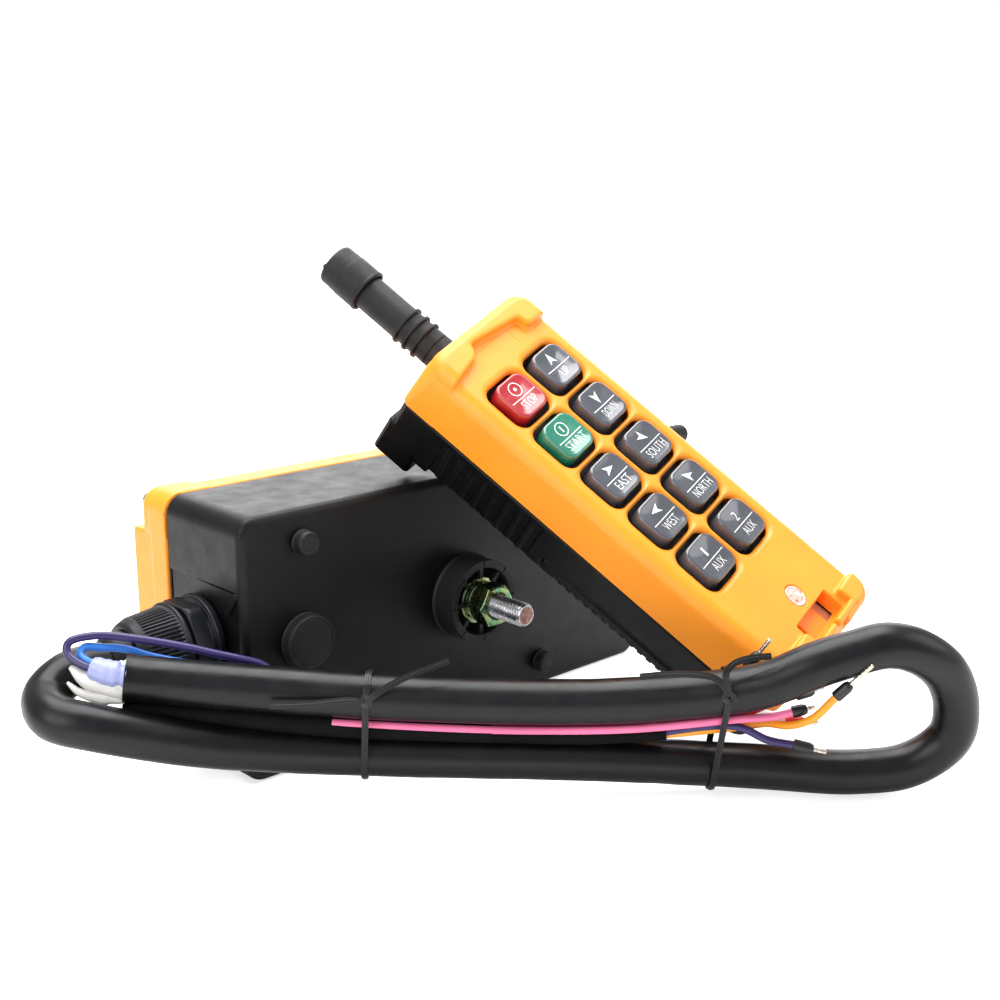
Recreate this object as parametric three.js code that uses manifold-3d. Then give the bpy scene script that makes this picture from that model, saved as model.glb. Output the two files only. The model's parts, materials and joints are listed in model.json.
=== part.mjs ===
// Radio pendant control set: a hand transmitter leaning on its receiver, with the coiled lead.
// Millimetres, +Z up. Origin: centre of the mounting stud's end face. The receiver lies on its
// long side, so X runs along it, -Y points out of its mounting face and the table is at TABLE_Z.
import * as THREE from "three";
import { mergeVertices } from "three/addons/utils/BufferGeometryUtils.js";
import Module from "manifold-3d";

const wasm = await Module();
wasm.setup();

// ---------- driving dimensions ----------
const GAP = 0.3;
const SEGMENTS = 3;

// Receiver box
const STUD_REACH = 37;
const FACE_Y = STUD_REACH;
const BOX_LENGTH = 218;
const BOX_HEIGHT = 104;
const BOX_DEPTH = 50.8;
const BOX_CORNER = 8;
const BOX_WALL = 3;
const TABLE_Z = -BOX_HEIGHT / 2;
const RIM_Y = FACE_Y + BOX_DEPTH;
const GASKET_THICK = 1;
const COVER_Y = RIM_Y + GASKET_THICK + 2 * GAP;
const COVER_FLANGE = 12;
const COVER_DEPTH = 27;
const CORNER_PAD = { x: 88, z: 34.5, high: 17.5 };
const COVER_SCREW = { x: 102.5, z: 45, shank: 1.9, head: 3.9, headHigh: 4, length: 30.5 };
const SMALL_PLUGS = [[-81.7, 39.2], [44.4, -40.2]];
const SMALL_PLUG_RADIUS = 5;
const LARGE_PLUG = [-82, 0.5];
const LARGE_PLUG_RADIUS = 11;
const PLUG_STANDS = 5.5;

// M10 mounting stud with its damper, washers and nut
const STUD_RADIUS = 4.9;
const DAMPER = { back: FACE_Y - GAP, front: 25, hub: 30, floor: 31.5, outer: 17.5 };
const DAMPER_HUB_RADIUS = 10.6;
const DAMPER_RIM_INSIDE = 14;
const WASHER = { outer: 10, thick: 2 };
const SPRING_WASHER = { outer: 8.6, thick: 2.4 };
const NUT = { acrossFlats: 16, high: 8 };

// Cable gland M25 on the left end
const GLAND_Y = 66;
const GLAND_THREAD = 12.2;
const GLAND_FLANGE = 18;
const GLAND_HEX = 32;
const CABLE_RADIUS = 8.3;

// Receiver antenna on the right end
const RECEIVER_ANTENNA = { y: 61, z: 42, base: 6, rod: 4.6, tip: 168 };

// Hand transmitter, in its own frame: x across, y towards the antenna, z out of the button face,
// origin in the middle of the first row of buttons
const HANDSET_AT = [11, 5.5, 92.6];
const HANDSET_TURN = { heading: 9.5, lean: -21.1, tilt: 40.1 };
const SHELL_WIDTH = 70;
const SHELL_TOP = 36.2;
const SHELL_TAIL = -152;
const SHELL_CORNER = 7;
const SEAM_Z = -21.5;
const REAR_TOP_Z = SEAM_Z - 1.1;
const REAR_Z = -45.3;
const BLOCK_Z = -55.7;
const BLOCK_DEPTH = 16;
const FACE_WALL = 3;
const SIDE_WALL = 3;
const RIM_HIGH = 4;
const ROW_PITCH = 23.8;
const COLUMN_PITCH = 25;
const WELL = 21.2;
const CAP = 17.8;
const CAP_TOP_Z = 2.4;
const LED = { x: 2.9, y: -129.4, radius: 4.2 };
const POCKET = { left: -9.2, right: 15, low: -146.3, high: -136.6, floor: -5.5 };
const DOOR_TOP = -46.5;
const DOOR_LINE_Z = -37.5;
const RIBS = { count: 9, first: 12.5, pitch: 6.1, wide: 3.4, deep: 1.3 };
const CASE_SCREWS = [[-28, 26], [28, 26], [-28.5, -38], [28.5, -38]];
const ANTENNA = { z: -24.6, foot: 29, flex: 47, rod: 7.5, ring: 8.4, seat: 8, core: 5.6 };
const ANTENNA_CAP = { radius: 9.4, from: 81.4, tip: 100.2 };
const ANTENNA_RINGS = [50, 54.8, 59.6];

// Lead, in a frame of its own: x along the coil, y towards the receiver, z above the table
const COIL_AT = [-49.8, -37.8, TABLE_Z];
const COIL_HEADING = -43.1;
const WIRE_RADIUS = 1.45;
const TIES = [-48, 79];

// ---------- small tools ----------
const rad = THREE.MathUtils.degToRad;

function solid(geometry) {
  const bare = geometry.index ? geometry.toNonIndexed() : geometry.clone();
  bare.deleteAttribute("uv");
  bare.deleteAttribute("normal");
  const merged = mergeVertices(bare, 1e-4);
  return new wasm.Manifold(
    new wasm.Mesh({
      numProp: 3,
      vertProperties: merged.attributes.position.array,
      triVerts: new Uint32Array(merged.index.array),
    }),
  );
}

function geometryOf(manifold) {
  const mesh = manifold.getMesh();
  return new THREE.BufferGeometry()
    .setAttribute("position", new THREE.BufferAttribute(mesh.vertProperties, 3))
    .setIndex(new THREE.BufferAttribute(mesh.triVerts, 1))
    .toNonIndexed();
}

function union(list) {
  return list.reduce((sum, next) => sum.add(next));
}

function cut(body, list) {
  return list.reduce((left, tool) => left.subtract(tool), body);
}

// A box between two corners.
function box(x0, x1, y0, y1, z0, z1) {
  const g = new THREE.BoxGeometry(x1 - x0, y1 - y0, z1 - z0);
  return solid(g.translate((x0 + x1) / 2, (y0 + y1) / 2, (z0 + z1) / 2));
}

function roundRect(width, height, radius, cx = 0, cy = 0) {
  const [l, r] = [cx - width / 2, cx + width / 2];
  const [b, t] = [cy - height / 2, cy + height / 2];
  const shape = new THREE.Shape();
  shape.moveTo(l + radius, b);
  shape.lineTo(r - radius, b);
  shape.absarc(r - radius, b + radius, radius, -Math.PI / 2, 0);
  shape.lineTo(r, t - radius);
  shape.absarc(r - radius, t - radius, radius, 0, Math.PI / 2);
  shape.lineTo(l + radius, t);
  shape.absarc(l + radius, t - radius, radius, Math.PI / 2, Math.PI);
  shape.lineTo(l, b + radius);
  shape.absarc(l + radius, b + radius, radius, Math.PI, Math.PI * 1.5);
  return shape;
}

// An outline pushed along Z; `soft` rounds its upper and lower edges.
function slab(shape, z0, z1, soft = 0, curveSegments = SEGMENTS) {
  const g = new THREE.ExtrudeGeometry(shape, {
    depth: z1 - z0 - 2 * soft,
    curveSegments,
    bevelEnabled: soft > 0,
    bevelThickness: soft,
    bevelSize: soft,
    bevelOffset: -soft,
    bevelSegments: soft > 2 ? 2 : 1,
  });
  return solid(g.translate(0, 0, z0 + soft));
}

// The same outline, drawn in X and Z and pushed along Y.
function slabY(shape, y0, y1, soft = 0) {
  return solid(geometryOf(slab(shape, 0, y1 - y0, soft)).rotateX(Math.PI / 2).translate(0, y1, 0));
}

// A turned body about Z from [radius, height] pairs.
function turned(profile, sides = 20) {
  const points = profile.map(([r, h]) => new THREE.Vector2(r, h));
  const g = new THREE.LatheGeometry(points, sides).rotateX(Math.PI / 2);
  return solid(g);
}

function pin(radius, z0, z1, sides = 16) {
  return turned([[0, z0], [radius, z0], [radius, z1], [0, z1]], sides);
}

// Turns a body made about Z so that its Z points along the named axis, then moves it.
function aimed(body, axis, at = [0, 0, 0]) {
  const turns = {
    "+x": [0, Math.PI / 2, 0],
    "-x": [0, -Math.PI / 2, 0],
    "+y": [-Math.PI / 2, 0, 0],
    "-y": [Math.PI / 2, 0, 0],
    "+z": [0, 0, 0],
    "-z": [Math.PI, 0, 0],
  };
  const matrix = new THREE.Matrix4().makeRotationFromEuler(new THREE.Euler(...turns[axis]));
  matrix.setPosition(...at);
  return solid(geometryOf(body).applyMatrix4(matrix));
}

function moved(body, x, y, z) {
  return solid(geometryOf(body).translate(x, y, z));
}

function hexagon(acrossFlats) {
  const shape = new THREE.Shape();
  const corner = acrossFlats / 2 / Math.cos(Math.PI / 6);
  for (let i = 0; i < 6; i++) {
    const a = (i * Math.PI) / 3;
    const [x, y] = [corner * Math.cos(a), corner * Math.sin(a)];
    if (i) shape.lineTo(x, y);
    else shape.moveTo(x, y);
  }
  shape.closePath();
  return shape;
}

function circle(radius) {
  return new THREE.Shape().absarc(0, 0, radius, 0, Math.PI * 2);
}

function material(color, roughness, metalness = 0) {
  return new THREE.MeshStandardMaterial({ color, roughness, metalness });
}

const paint = {
  orange: () => material(0xff9a2e, 0.45),
  black: () => material(0x1b1b1d, 0.5),
  rubber: () => material(0x222225, 0.75),
  zinc: () => material(0xc9b36a, 0.35, 0.9),
  steel: () => material(0xb8bcc2, 0.35, 1),
  board: () => material(0x1f6b3a, 0.6),
};

function put(group, name, body, look) {
  const mesh = new THREE.Mesh(geometryOf(body), look);
  mesh.geometry.computeVertexNormals();
  mesh.name = name;
  group.add(mesh);
}

// ---------- receiver ----------
function glandBore() {
  return aimed(pin(GLAND_THREAD + GAP, 0, 12), "-x", [-BOX_LENGTH / 2 + 6, GLAND_Y, 0]);
}

function housing() {
  const outer = slabY(roundRect(BOX_LENGTH, BOX_HEIGHT, BOX_CORNER), FACE_Y, RIM_Y + 4, 2.5);
  const trim = box(-120, 120, RIM_Y, RIM_Y + 10, -60, 60);
  const inside = roundRect(BOX_LENGTH - 2 * BOX_WALL, BOX_HEIGHT - 2 * BOX_WALL, BOX_CORNER - BOX_WALL);
  const cavity = slabY(inside, FACE_Y + BOX_WALL, RIM_Y + 5);
  let body = cut(outer, [trim, cavity]);
  for (const sx of [-1, 1]) {
    for (const sz of [-1, 1]) {
      const corner = [sx * COVER_SCREW.x, 0, sz * COVER_SCREW.z];
      body = body.add(aimed(pin(6, FACE_Y + 1.5, RIM_Y, 16), "+y", corner));
      body = body.add(aimed(pin(3.4, FACE_Y + 1.5, 51.7, 12), "+y", [sx * 88, 0, sz * 32]));
      body = body.add(aimed(pin(1.5, 51, 55, 12), "+y", [sx * 88, 0, sz * 32]));
    }
  }
  const tools = [
    aimed(pin(STUD_RADIUS + GAP, FACE_Y - 2, FACE_Y + 6), "+y"),
    glandBore(),
    aimed(pin(3.5, 0, 12), "+x", [BOX_LENGTH / 2 - 6, RECEIVER_ANTENNA.y, RECEIVER_ANTENNA.z]),
    aimed(pin(LARGE_PLUG_RADIUS - 1.2, FACE_Y - 2, FACE_Y + 6), "+y", [LARGE_PLUG[0], 0, LARGE_PLUG[1]]),
  ];
  for (const [x, z] of SMALL_PLUGS) {
    tools.push(aimed(pin(SMALL_PLUG_RADIUS - 1.2, FACE_Y - 2, FACE_Y + 6), "+y", [x, 0, z]));
  }
  for (const sx of [-1, 1]) {
    for (const sz of [-1, 1]) {
      const corner = [sx * COVER_SCREW.x, 0, sz * COVER_SCREW.z];
      tools.push(aimed(pin(COVER_SCREW.shank + GAP, RIM_Y - 14, RIM_Y + 2, 12), "+y", corner));
    }
    const [near, far] = [sx * (BOX_LENGTH / 2 - 1.1), sx * (BOX_LENGTH / 2 + 2)];
    tools.push(box(Math.min(near, far), Math.max(near, far), FACE_Y + 4, RIM_Y + 2, -48, 23));
  }
  return cut(body, tools);
}

// The four corners of the cover, from `near` millimetres inside the pads and `from` up.
function coverCorners(near, from) {
  const out = [];
  for (const sx of [-1, 1]) {
    for (const sz of [-1, 1]) {
      const [x0, x1] = [sx * (CORNER_PAD.x - near), sx * 120].sort((p, q) => p - q);
      const [z0, z1] = [sz * (CORNER_PAD.z - near), sz * 60].sort((p, q) => p - q);
      out.push(box(x0, x1, from, COVER_Y + 40, z0, z1));
    }
  }
  return out;
}

function cover() {
  const flange = roundRect(BOX_LENGTH, BOX_HEIGHT, BOX_CORNER);
  const pads = slabY(flange, COVER_Y - 4, COVER_Y + CORNER_PAD.high, 2.5);
  const lid = slabY(roundRect(216, 93, 5), COVER_Y + 4, COVER_Y + COVER_DEPTH, 2);
  const outer = cut(
    union([
      slabY(flange, COVER_Y - 4, COVER_Y + COVER_FLANGE, 2),
      pads.intersect(union(coverCorners(0, COVER_Y - 4))),
      cut(lid, coverCorners(0, COVER_Y + CORNER_PAD.high)),
    ]),
    [box(-120, 120, COVER_Y - 10, COVER_Y, -60, 60)],
  );
  const shallow = slabY(roundRect(212, 98, 5), COVER_Y - 2, COVER_Y + COVER_FLANGE - 3);
  const deep = slabY(roundRect(210, 87, 4), COVER_Y - 2, COVER_Y + COVER_DEPTH - 3);
  let body = cut(outer, [shallow, cut(deep, coverCorners(3, COVER_Y + CORNER_PAD.high - 3))]);
  for (const sx of [-1, 1]) {
    for (const sz of [-1, 1]) {
      const at = [sx * COVER_SCREW.x, 0, sz * COVER_SCREW.z];
      body = body.add(aimed(pin(5.2, COVER_Y, COVER_Y + CORNER_PAD.high - 1, 16), "+y", at));
      const bore = COVER_SCREW.shank + GAP;
      body = body.subtract(aimed(pin(bore, COVER_Y - 1, COVER_Y + CORNER_PAD.high + 2, 12), "+y", at));
    }
  }
  return body;
}

function coverGasket() {
  const ring = slabY(roundRect(216, 102, 7), RIM_Y + GAP, RIM_Y + GAP + GASKET_THICK);
  const tools = [slabY(roundRect(213.4, 99.4, 5.7), RIM_Y - 1, RIM_Y + 4)];
  return cut(ring, tools);
}

function coverScrew(sx, sz) {
  const seat = COVER_Y + CORNER_PAD.high + GAP;
  const { shank, head, headHigh, length } = COVER_SCREW;
  const body = turned([
    [0, seat - length],
    [shank, seat - length + 1.5],
    [shank, seat],
    [head, seat],
    [head, seat + headHigh - 0.8],
    [head - 1.2, seat + headHigh],
    [0, seat + headHigh],
  ], 16);
  const slots = [box(-2.4, 2.4, -0.5, 0.5, seat + headHigh - 1.2, seat + 9)];
  slots.push(box(-0.5, 0.5, -2.4, 2.4, seat + headHigh - 1.2, seat + 9));
  return aimed(cut(body, slots), "+y", [sx * COVER_SCREW.x, 0, sz * COVER_SCREW.z]);
}

function mainBoard() {
  let board = slabY(roundRect(192, 78, 2), 52, 53.6);
  for (const sx of [-1, 1]) {
    for (const sz of [-1, 1]) {
      board = board.subtract(aimed(pin(1.8, 50, 56, 12), "+y", [sx * 88, 0, sz * 32]));
    }
  }
  return board;
}

function relayBank() {
  const base = [box(-56, 34, 53.9, 54.9, -35, 35)];
  for (let column = 0; column < 5; column++) {
    for (const sz of [-1, 1]) {
      const x = -46 + column * 17.6;
      const z = sz * 18;
      base.push(box(x - 7.6, x + 7.6, 54.5, 70, z - 9.5, z + 9.5));
    }
  }
  return union(base);
}

function transformer() {
  const core = box(46, 84, 53.9, 78, -34, -2);
  const winding = box(50, 80, 55, 82, -29, -7);
  return core.add(winding);
}

function terminalBlock() {
  let strip = box(-80, -66, 53.9, 68, -34, 34);
  for (let way = 0; way < 8; way++) {
    const z = -29.75 + way * 8.5;
    strip = strip.subtract(box(-81, -75, 56, 62, z - 2.6, z + 2.6));
    strip = strip.subtract(aimed(pin(2.1, 0, 4, 8), "+y", [-70.5, 65.5, z]));
  }
  return strip;
}

function damper() {
  const { back, front, hub, floor, outer } = DAMPER;
  const profile = [
    [STUD_RADIUS + GAP, back],
    [outer + 1.5, back],
    [outer, front + 2],
    [outer - 1.2, front],
    [DAMPER_RIM_INSIDE, front],
    [DAMPER_RIM_INSIDE, floor],
    [DAMPER_HUB_RADIUS, floor],
    [DAMPER_HUB_RADIUS, hub],
    [STUD_RADIUS + GAP, hub],
    [STUD_RADIUS + GAP, back],
  ].map(([r, y]) => [r, FACE_Y - y]);
  let body = turned(profile, 24);
  for (let spoke = 0; spoke < 8; spoke++) {
    const bar = box(DAMPER_HUB_RADIUS - 0.5, DAMPER_RIM_INSIDE + 0.5, -1, 1, 2, FACE_Y - 28.2);
    const turn = new THREE.Matrix4().makeRotationZ((spoke * Math.PI) / 4);
    body = body.add(solid(geometryOf(bar).applyMatrix4(turn)));
  }
  return aimed(body, "-y", [0, FACE_Y, 0]);
}

function stud() {
  const thread = aimed(turned([
    [0, 0],
    [STUD_RADIUS - 0.9, 0],
    [STUD_RADIUS, 1],
    [STUD_RADIUS, 41],
    [0, 41],
  ], 24), "+y");
  const head = slabY(hexagon(16), FACE_Y + BOX_WALL + GAP, FACE_Y + BOX_WALL + 6.4);
  return thread.add(head);
}

function ring(outer, bore, y0, y1, sides = 24) {
  return aimed(turned([[bore, y0], [outer, y0], [outer, y1], [bore, y1], [bore, y0]], sides), "+y");
}

const WASHER_Y = DAMPER.hub - GAP - WASHER.thick;
const SPRING_Y = WASHER_Y - GAP - SPRING_WASHER.thick;
const NUT_Y = SPRING_Y - GAP - NUT.high;

function mountNut() {
  const hex = slabY(hexagon(NUT.acrossFlats), NUT_Y, NUT_Y + NUT.high);
  const chamfer = aimed(turned([
    [0, NUT_Y - 1],
    [NUT.acrossFlats / 2 - 1.2, NUT_Y - 1],
    [NUT.acrossFlats / 2 + 1.4, NUT_Y + 1.2],
    [NUT.acrossFlats / 2 + 1.4, NUT_Y + NUT.high - 1.2],
    [NUT.acrossFlats / 2 - 1.2, NUT_Y + NUT.high + 1],
    [0, NUT_Y + NUT.high + 1],
  ], 24), "+y");
  return cut(hex.intersect(chamfer), [aimed(pin(STUD_RADIUS + GAP, -1, 60), "+y")]);
}

function springWasher() {
  const body = ring(SPRING_WASHER.outer, STUD_RADIUS + GAP, SPRING_Y, SPRING_Y + SPRING_WASHER.thick);
  return body.subtract(box(-0.7, 0.7, SPRING_Y - 1, SPRING_Y + 5, 3, 12));
}

function plug(x, z, radius) {
  const body = turned([
    [0, 0],
    [radius - 2.2, 0],
    [radius - 2.2, 5.2 + GAP],
    [radius, 5.2 + GAP],
    [radius, 5 + PLUG_STANDS - 1],
    [radius - 1, 5.5 + PLUG_STANDS],
    [0, 5.5 + PLUG_STANDS],
  ], radius > 6 ? 24 : 16);
  return aimed(body, "-y", [x, FACE_Y + 5.2, z]);
}

// Gland pieces are turned about Z pointing out of the left end, with 0 at the end wall.
function onGlandAxis(body) {
  return aimed(body, "-x", [-BOX_LENGTH / 2, GLAND_Y, 0]);
}

function glandBody() {
  const bore = CABLE_RADIUS + GAP;
  const shank = turned([
    [bore, -8],
    [GLAND_THREAD, -8],
    [GLAND_THREAD, GAP],
    [GLAND_FLANGE, GAP],
    [GLAND_FLANGE, 3],
    [GLAND_FLANGE - 1.4, 4],
    [13, 12],
    [13, 20],
    [bore, 20],
    [bore, -8],
  ], 24);
  const hex = slab(hexagon(GLAND_HEX), 3.5, 11.5, 0.8);
  return onGlandAxis(shank.add(cut(hex, [pin(bore + 1, 0, 20)])));
}

function glandLocknut() {
  const body = slab(hexagon(30), -BOX_WALL - GAP - 4.4, -BOX_WALL - GAP);
  return onGlandAxis(cut(body, [pin(GLAND_THREAD + GAP, -20, 5)]));
}

function glandNut() {
  const [near, far] = [12.4, 33];
  const body = turned([
    [13 + GAP, near],
    [17, near],
    [17, near + 2],
    [16, near + 3],
    [14.6, far - 5],
    [12.4, far],
    [10.4, far],
    [10.4, 20.6],
    [13 + GAP, 20.6],
    [13 + GAP, near],
  ], 24);
  const grooves = [];
  for (let i = 0; i < 12; i++) {
    const turn = new THREE.Matrix4().makeRotationZ((i * Math.PI) / 6);
    const groove = box(15.3, 18, -0.8, 0.8, near + 3.4, far + 1);
    grooves.push(solid(geometryOf(groove).applyMatrix4(turn)));
  }
  return onGlandAxis(cut(body, grooves));
}

function glandSeal() {
  const bore = CABLE_RADIUS + GAP;
  return onGlandAxis(turned([
    [bore, 20.6],
    [10, 20.6],
    [10, 33.2],
    [10.9, 33.4],
    [10.4, 38],
    [9, 40.5],
    [bore, 41],
    [bore, 20.6],
  ], 24));
}

function receiverAntennaBase() {
  const { y, z, base } = RECEIVER_ANTENNA;
  const body = turned([
    [0, -5],
    [3.2, -5],
    [3.2, GAP],
    [base + 1, GAP],
    [base, 2],
    [base - 0.6, 9],
    [0, 9],
  ], 20);
  return aimed(body, "+x", [BOX_LENGTH / 2, y, z]);
}

function receiverAntenna() {
  const { y, z, rod, tip } = RECEIVER_ANTENNA;
  const long = tip - BOX_LENGTH / 2;
  const body = turned([
    [0, 9.5],
    [3, 9.5],
    [rod, 11],
    [rod, long - 2],
    [rod - 1.6, long - 0.3],
    [0, long],
  ], 20);
  return aimed(body, "+x", [BOX_LENGTH / 2, y, z]);
}

function buildReceiver() {
  const group = new THREE.Group();
  put(group, "receiver_housing", housing(), paint.black());
  put(group, "receiver_cover", cover(), paint.orange());
  put(group, "cover_gasket", coverGasket(), paint.rubber());
  let number = 1;
  for (const sx of [-1, 1]) {
    for (const sz of [-1, 1]) {
      put(group, `cover_screw_${number}`, coverScrew(sx, sz), paint.steel());
      number += 1;
    }
  }
  put(group, "receiver_circuit_board", mainBoard(), paint.board());
  put(group, "relay_bank", relayBank(), material(0x2b3f66, 0.5));
  put(group, "transformer", transformer(), material(0xa8842c, 0.6));
  put(group, "terminal_block", terminalBlock(), material(0x3b8f4f, 0.5));
  put(group, "mount_damper", damper(), paint.rubber());
  put(group, "mount_stud", stud(), paint.steel());
  const bore = STUD_RADIUS + GAP;
  put(group, "flat_washer", ring(WASHER.outer, bore, WASHER_Y, WASHER_Y + WASHER.thick), paint.zinc());
  put(group, "spring_washer", springWasher(), paint.zinc());
  put(group, "mount_nut", mountNut(), paint.zinc());
  put(group, "plug_small_1", plug(...SMALL_PLUGS[0], SMALL_PLUG_RADIUS), paint.rubber());
  put(group, "plug_small_2", plug(...SMALL_PLUGS[1], SMALL_PLUG_RADIUS), paint.rubber());
  put(group, "plug_large", plug(...LARGE_PLUG, LARGE_PLUG_RADIUS), paint.rubber());
  put(group, "gland_body", glandBody(), paint.black());
  put(group, "gland_locknut", glandLocknut(), paint.black());
  put(group, "gland_nut", glandNut(), paint.black());
  put(group, "gland_seal", glandSeal(), paint.rubber());
  put(group, "receiver_antenna_base", receiverAntennaBase(), paint.black());
  put(group, "receiver_antenna", receiverAntenna(), paint.rubber());
  return group;
}

// ---------- hand transmitter ----------
const SHELL_LONG = SHELL_TOP - SHELL_TAIL;
const SHELL_MIDDLE = (SHELL_TOP + SHELL_TAIL) / 2;

function outline(inset, radius = SHELL_CORNER - inset) {
  return roundRect(SHELL_WIDTH - 2 * inset, SHELL_LONG - 2 * inset, Math.max(radius, 1), 0, SHELL_MIDDLE);
}

// The raised horseshoe around one end; `toward` is +1 at the antenna and -1 at the tail.
function endRim(toward, arm, wall, lug) {
  const edge = SHELL_WIDTH / 2 - 1.5;
  const y = toward > 0 ? SHELL_TOP : SHELL_TAIL;
  const shape = new THREE.Shape();
  shape.moveTo(-edge, y - toward * arm);
  shape.lineTo(-edge, y - toward * 7);
  shape.lineTo(-edge + 5, y - toward * 1);
  shape.lineTo(edge - 5, y - toward * 1);
  shape.lineTo(edge, y - toward * 7);
  shape.lineTo(edge, y - toward * arm);
  shape.lineTo(edge - lug, y - toward * (arm - 2));
  shape.lineTo(edge - lug, y - toward * wall);
  shape.lineTo(-edge + lug, y - toward * wall);
  shape.lineTo(-edge + lug, y - toward * (arm - 2));
  shape.closePath();
  return slab(shape, -7, RIM_HIGH, 1.2);
}

function buttonPlaces() {
  const names = [
    ["stop", "up"],
    ["start", "down"],
    ["east", "south"],
    ["west", "north"],
    ["aux_1", "aux_2"],
  ];
  return names.flatMap((pair, row) =>
    pair.map((name, column) => ({
      name,
      x: (column - 0.5) * COLUMN_PITCH,
      y: -row * ROW_PITCH,
    })),
  );
}

function screwBoss(x, y, z0, z1, radius, bore) {
  return moved(cut(pin(radius, z0, z1, 16), [pin(bore, z0 - 1, z1 + 1, 12)]), x, y, 0);
}

function frontShell() {
  const soft = 5.5;
  const outer = cut(slab(outline(0), SEAM_Z - 8, 0, soft), [box(-40, 40, -160, 40, SEAM_Z - 9, SEAM_Z)]);
  let body = union([outer, endRim(1, 15.5, 7.2, 16), endRim(-1, 13, 6, 6)]);
  body = body.subtract(slab(outline(SIDE_WALL), SEAM_Z - 1, -FACE_WALL - 1));
  const { left, right, low, high, floor } = POCKET;
  body = body.add(box(left - 2, right + 2, low - 2, high + 2, floor - 2, -2));
  for (const [x, y] of CASE_SCREWS) {
    body = body.add(screwBoss(x, y, SEAM_Z + GAP, -FACE_WALL, 3.6, 1.7));
    body = body.subtract(moved(pin(1.7, SEAM_Z - 1, -FACE_WALL - 4, 12), x, y, 0));
  }
  const tools = buttonPlaces().map(({ x, y }) => slab(roundRect(WELL, WELL, 5, x, y), -9, 2));
  tools.push(moved(pin(LED.radius + GAP, -9, 2, 20), LED.x, LED.y, 0));
  tools.push(box(left, right, low, high, floor, 6));
  tools.push(box(right - 6.3, right - 0.1, low + 1, high - 0.6, -12, 0));
  tools.push(box(left + 0.1, left + 6.3, low + 1, high - 0.6, -12, 0));
  return cut(body, tools);
}

function doorSpace(extra) {
  return box(-40, 40, SHELL_TAIL - 5, DOOR_TOP + extra, REAR_Z - 5, DOOR_LINE_Z);
}

function rearShell() {
  const inset = 0.5;
  const outer = slab(outline(inset), REAR_Z, REAR_TOP_Z + 6, 2.5);
  const block = slab(
    roundRect(SHELL_WIDTH - 1, BLOCK_DEPTH, 4, 0, SHELL_TOP - 0.5 - BLOCK_DEPTH / 2),
    BLOCK_Z,
    REAR_Z + 8,
    1.5,
  );
  let body = cut(outer.add(block), [box(-40, 40, -160, 40, REAR_TOP_Z, REAR_TOP_Z + 20)]);
  const inner = outline(inset + 2.5);
  const upper = cut(slab(inner, REAR_Z + 2.5, REAR_TOP_Z + 1), [
    box(-40, 40, -160, DOOR_TOP + 2, REAR_Z - 1, DOOR_LINE_Z + 2),
  ]);
  body = cut(body, [upper, doorSpace(0)]);
  const bay = cut(box(-17, 17, -109, -53.5, DOOR_LINE_Z, REAR_TOP_Z), [
    box(-15.2, 15.2, -107.3, -55.2, DOOR_LINE_Z - 3, REAR_TOP_Z + 1),
  ]);
  body = body.subtract(box(-15.2, 15.2, -107.3, -55.2, DOOR_LINE_Z - 3, REAR_TOP_Z + 1)).add(bay);
  for (const [x, y] of CASE_SCREWS) {
    body = body.add(moved(pin(4.4, REAR_Z + 1, REAR_TOP_Z, 16), x, y, 0));
    body = body.subtract(moved(pin(1.7, BLOCK_Z - 2, REAR_TOP_Z + 1, 12), x, y, 0));
    body = body.subtract(moved(pin(3.3, BLOCK_Z - 2, REAR_Z + 3.2, 16), x, y, 0));
  }
  const tools = [aimed(pin(1.8, 25, 40, 12), "+y", [0, 0, ANTENNA.z])];
  const side = SHELL_WIDTH / 2 - inset;
  for (let i = 0; i < RIBS.count; i++) {
    const y = RIBS.first - i * RIBS.pitch;
    for (const s of [-1, 1]) {
      const [a, b] = [s * (side - RIBS.deep), s * (side + 3)];
      tools.push(box(Math.min(a, b), Math.max(a, b), y - RIBS.wide, y, REAR_Z - 2, REAR_TOP_Z - 3));
    }
  }
  return cut(body, tools);
}

function seamGasket() {
  const z0 = REAR_TOP_Z + GAP;
  return cut(slab(outline(1.2), z0, SEAM_Z - GAP), [slab(outline(2.8), z0 - 1, SEAM_Z + 1)]);
}

function batteryDoor() {
  const outer = cut(slab(outline(0.5), REAR_Z, DOOR_LINE_Z + 6, 2.5), [
    box(-40, 40, -160, 60, DOOR_LINE_Z - GAP, DOOR_LINE_Z + 20),
    box(-40, 40, DOOR_TOP - GAP, 60, -60, 0),
  ]);
  const hollow = box(-32, 32, SHELL_TAIL + 3, DOOR_TOP + 1, REAR_Z + 2, DOOR_LINE_Z + 3);
  const tools = [hollow];
  for (let i = 0; i < 16; i++) {
    const y = DOOR_TOP - 8 - i * 4.6;
    for (const s of [-1, 1]) {
      const [a, b] = [s * 33.3, s * 40];
      tools.push(box(Math.min(a, b), Math.max(a, b), y - 1.6, y, REAR_Z - 1, REAR_Z + 3));
    }
  }
  return cut(outer, tools);
}

function battery(x, flip) {
  const profile = [[0, -25], [7.1, -25], [7.1, 24], [2.7, 24], [2.7, 25], [0, 25]];
  const axis = flip ? "-y" : "+y";
  return aimed(turned(profile, 20), axis, [x, -81.2, -30.1]);
}

function handsetBoard() {
  return box(-23, 23, -112, 14, -13.6, -12).add(box(-10, 10, 0, 12, -16.6, -13));
}

function keypadMembrane() {
  let sheet = slab(roundRect(47, 120, 3, 0, -2 * ROW_PITCH), -9.6, -8.5);
  for (const { x, y } of buttonPlaces()) {
    sheet = sheet.add(moved(pin(2.6, -11.4, -9, 8), x, y, 0));
  }
  return sheet;
}

function button(x, y) {
  const cap = slab(roundRect(CAP, CAP, 4.6, x, y), -5.6, CAP_TOP_Z, 0.9, 2);
  const flange = slab(roundRect(22, 22, 4, x, y), -6.4, -4.6, 0, 1);
  return cap.add(flange);
}

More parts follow.
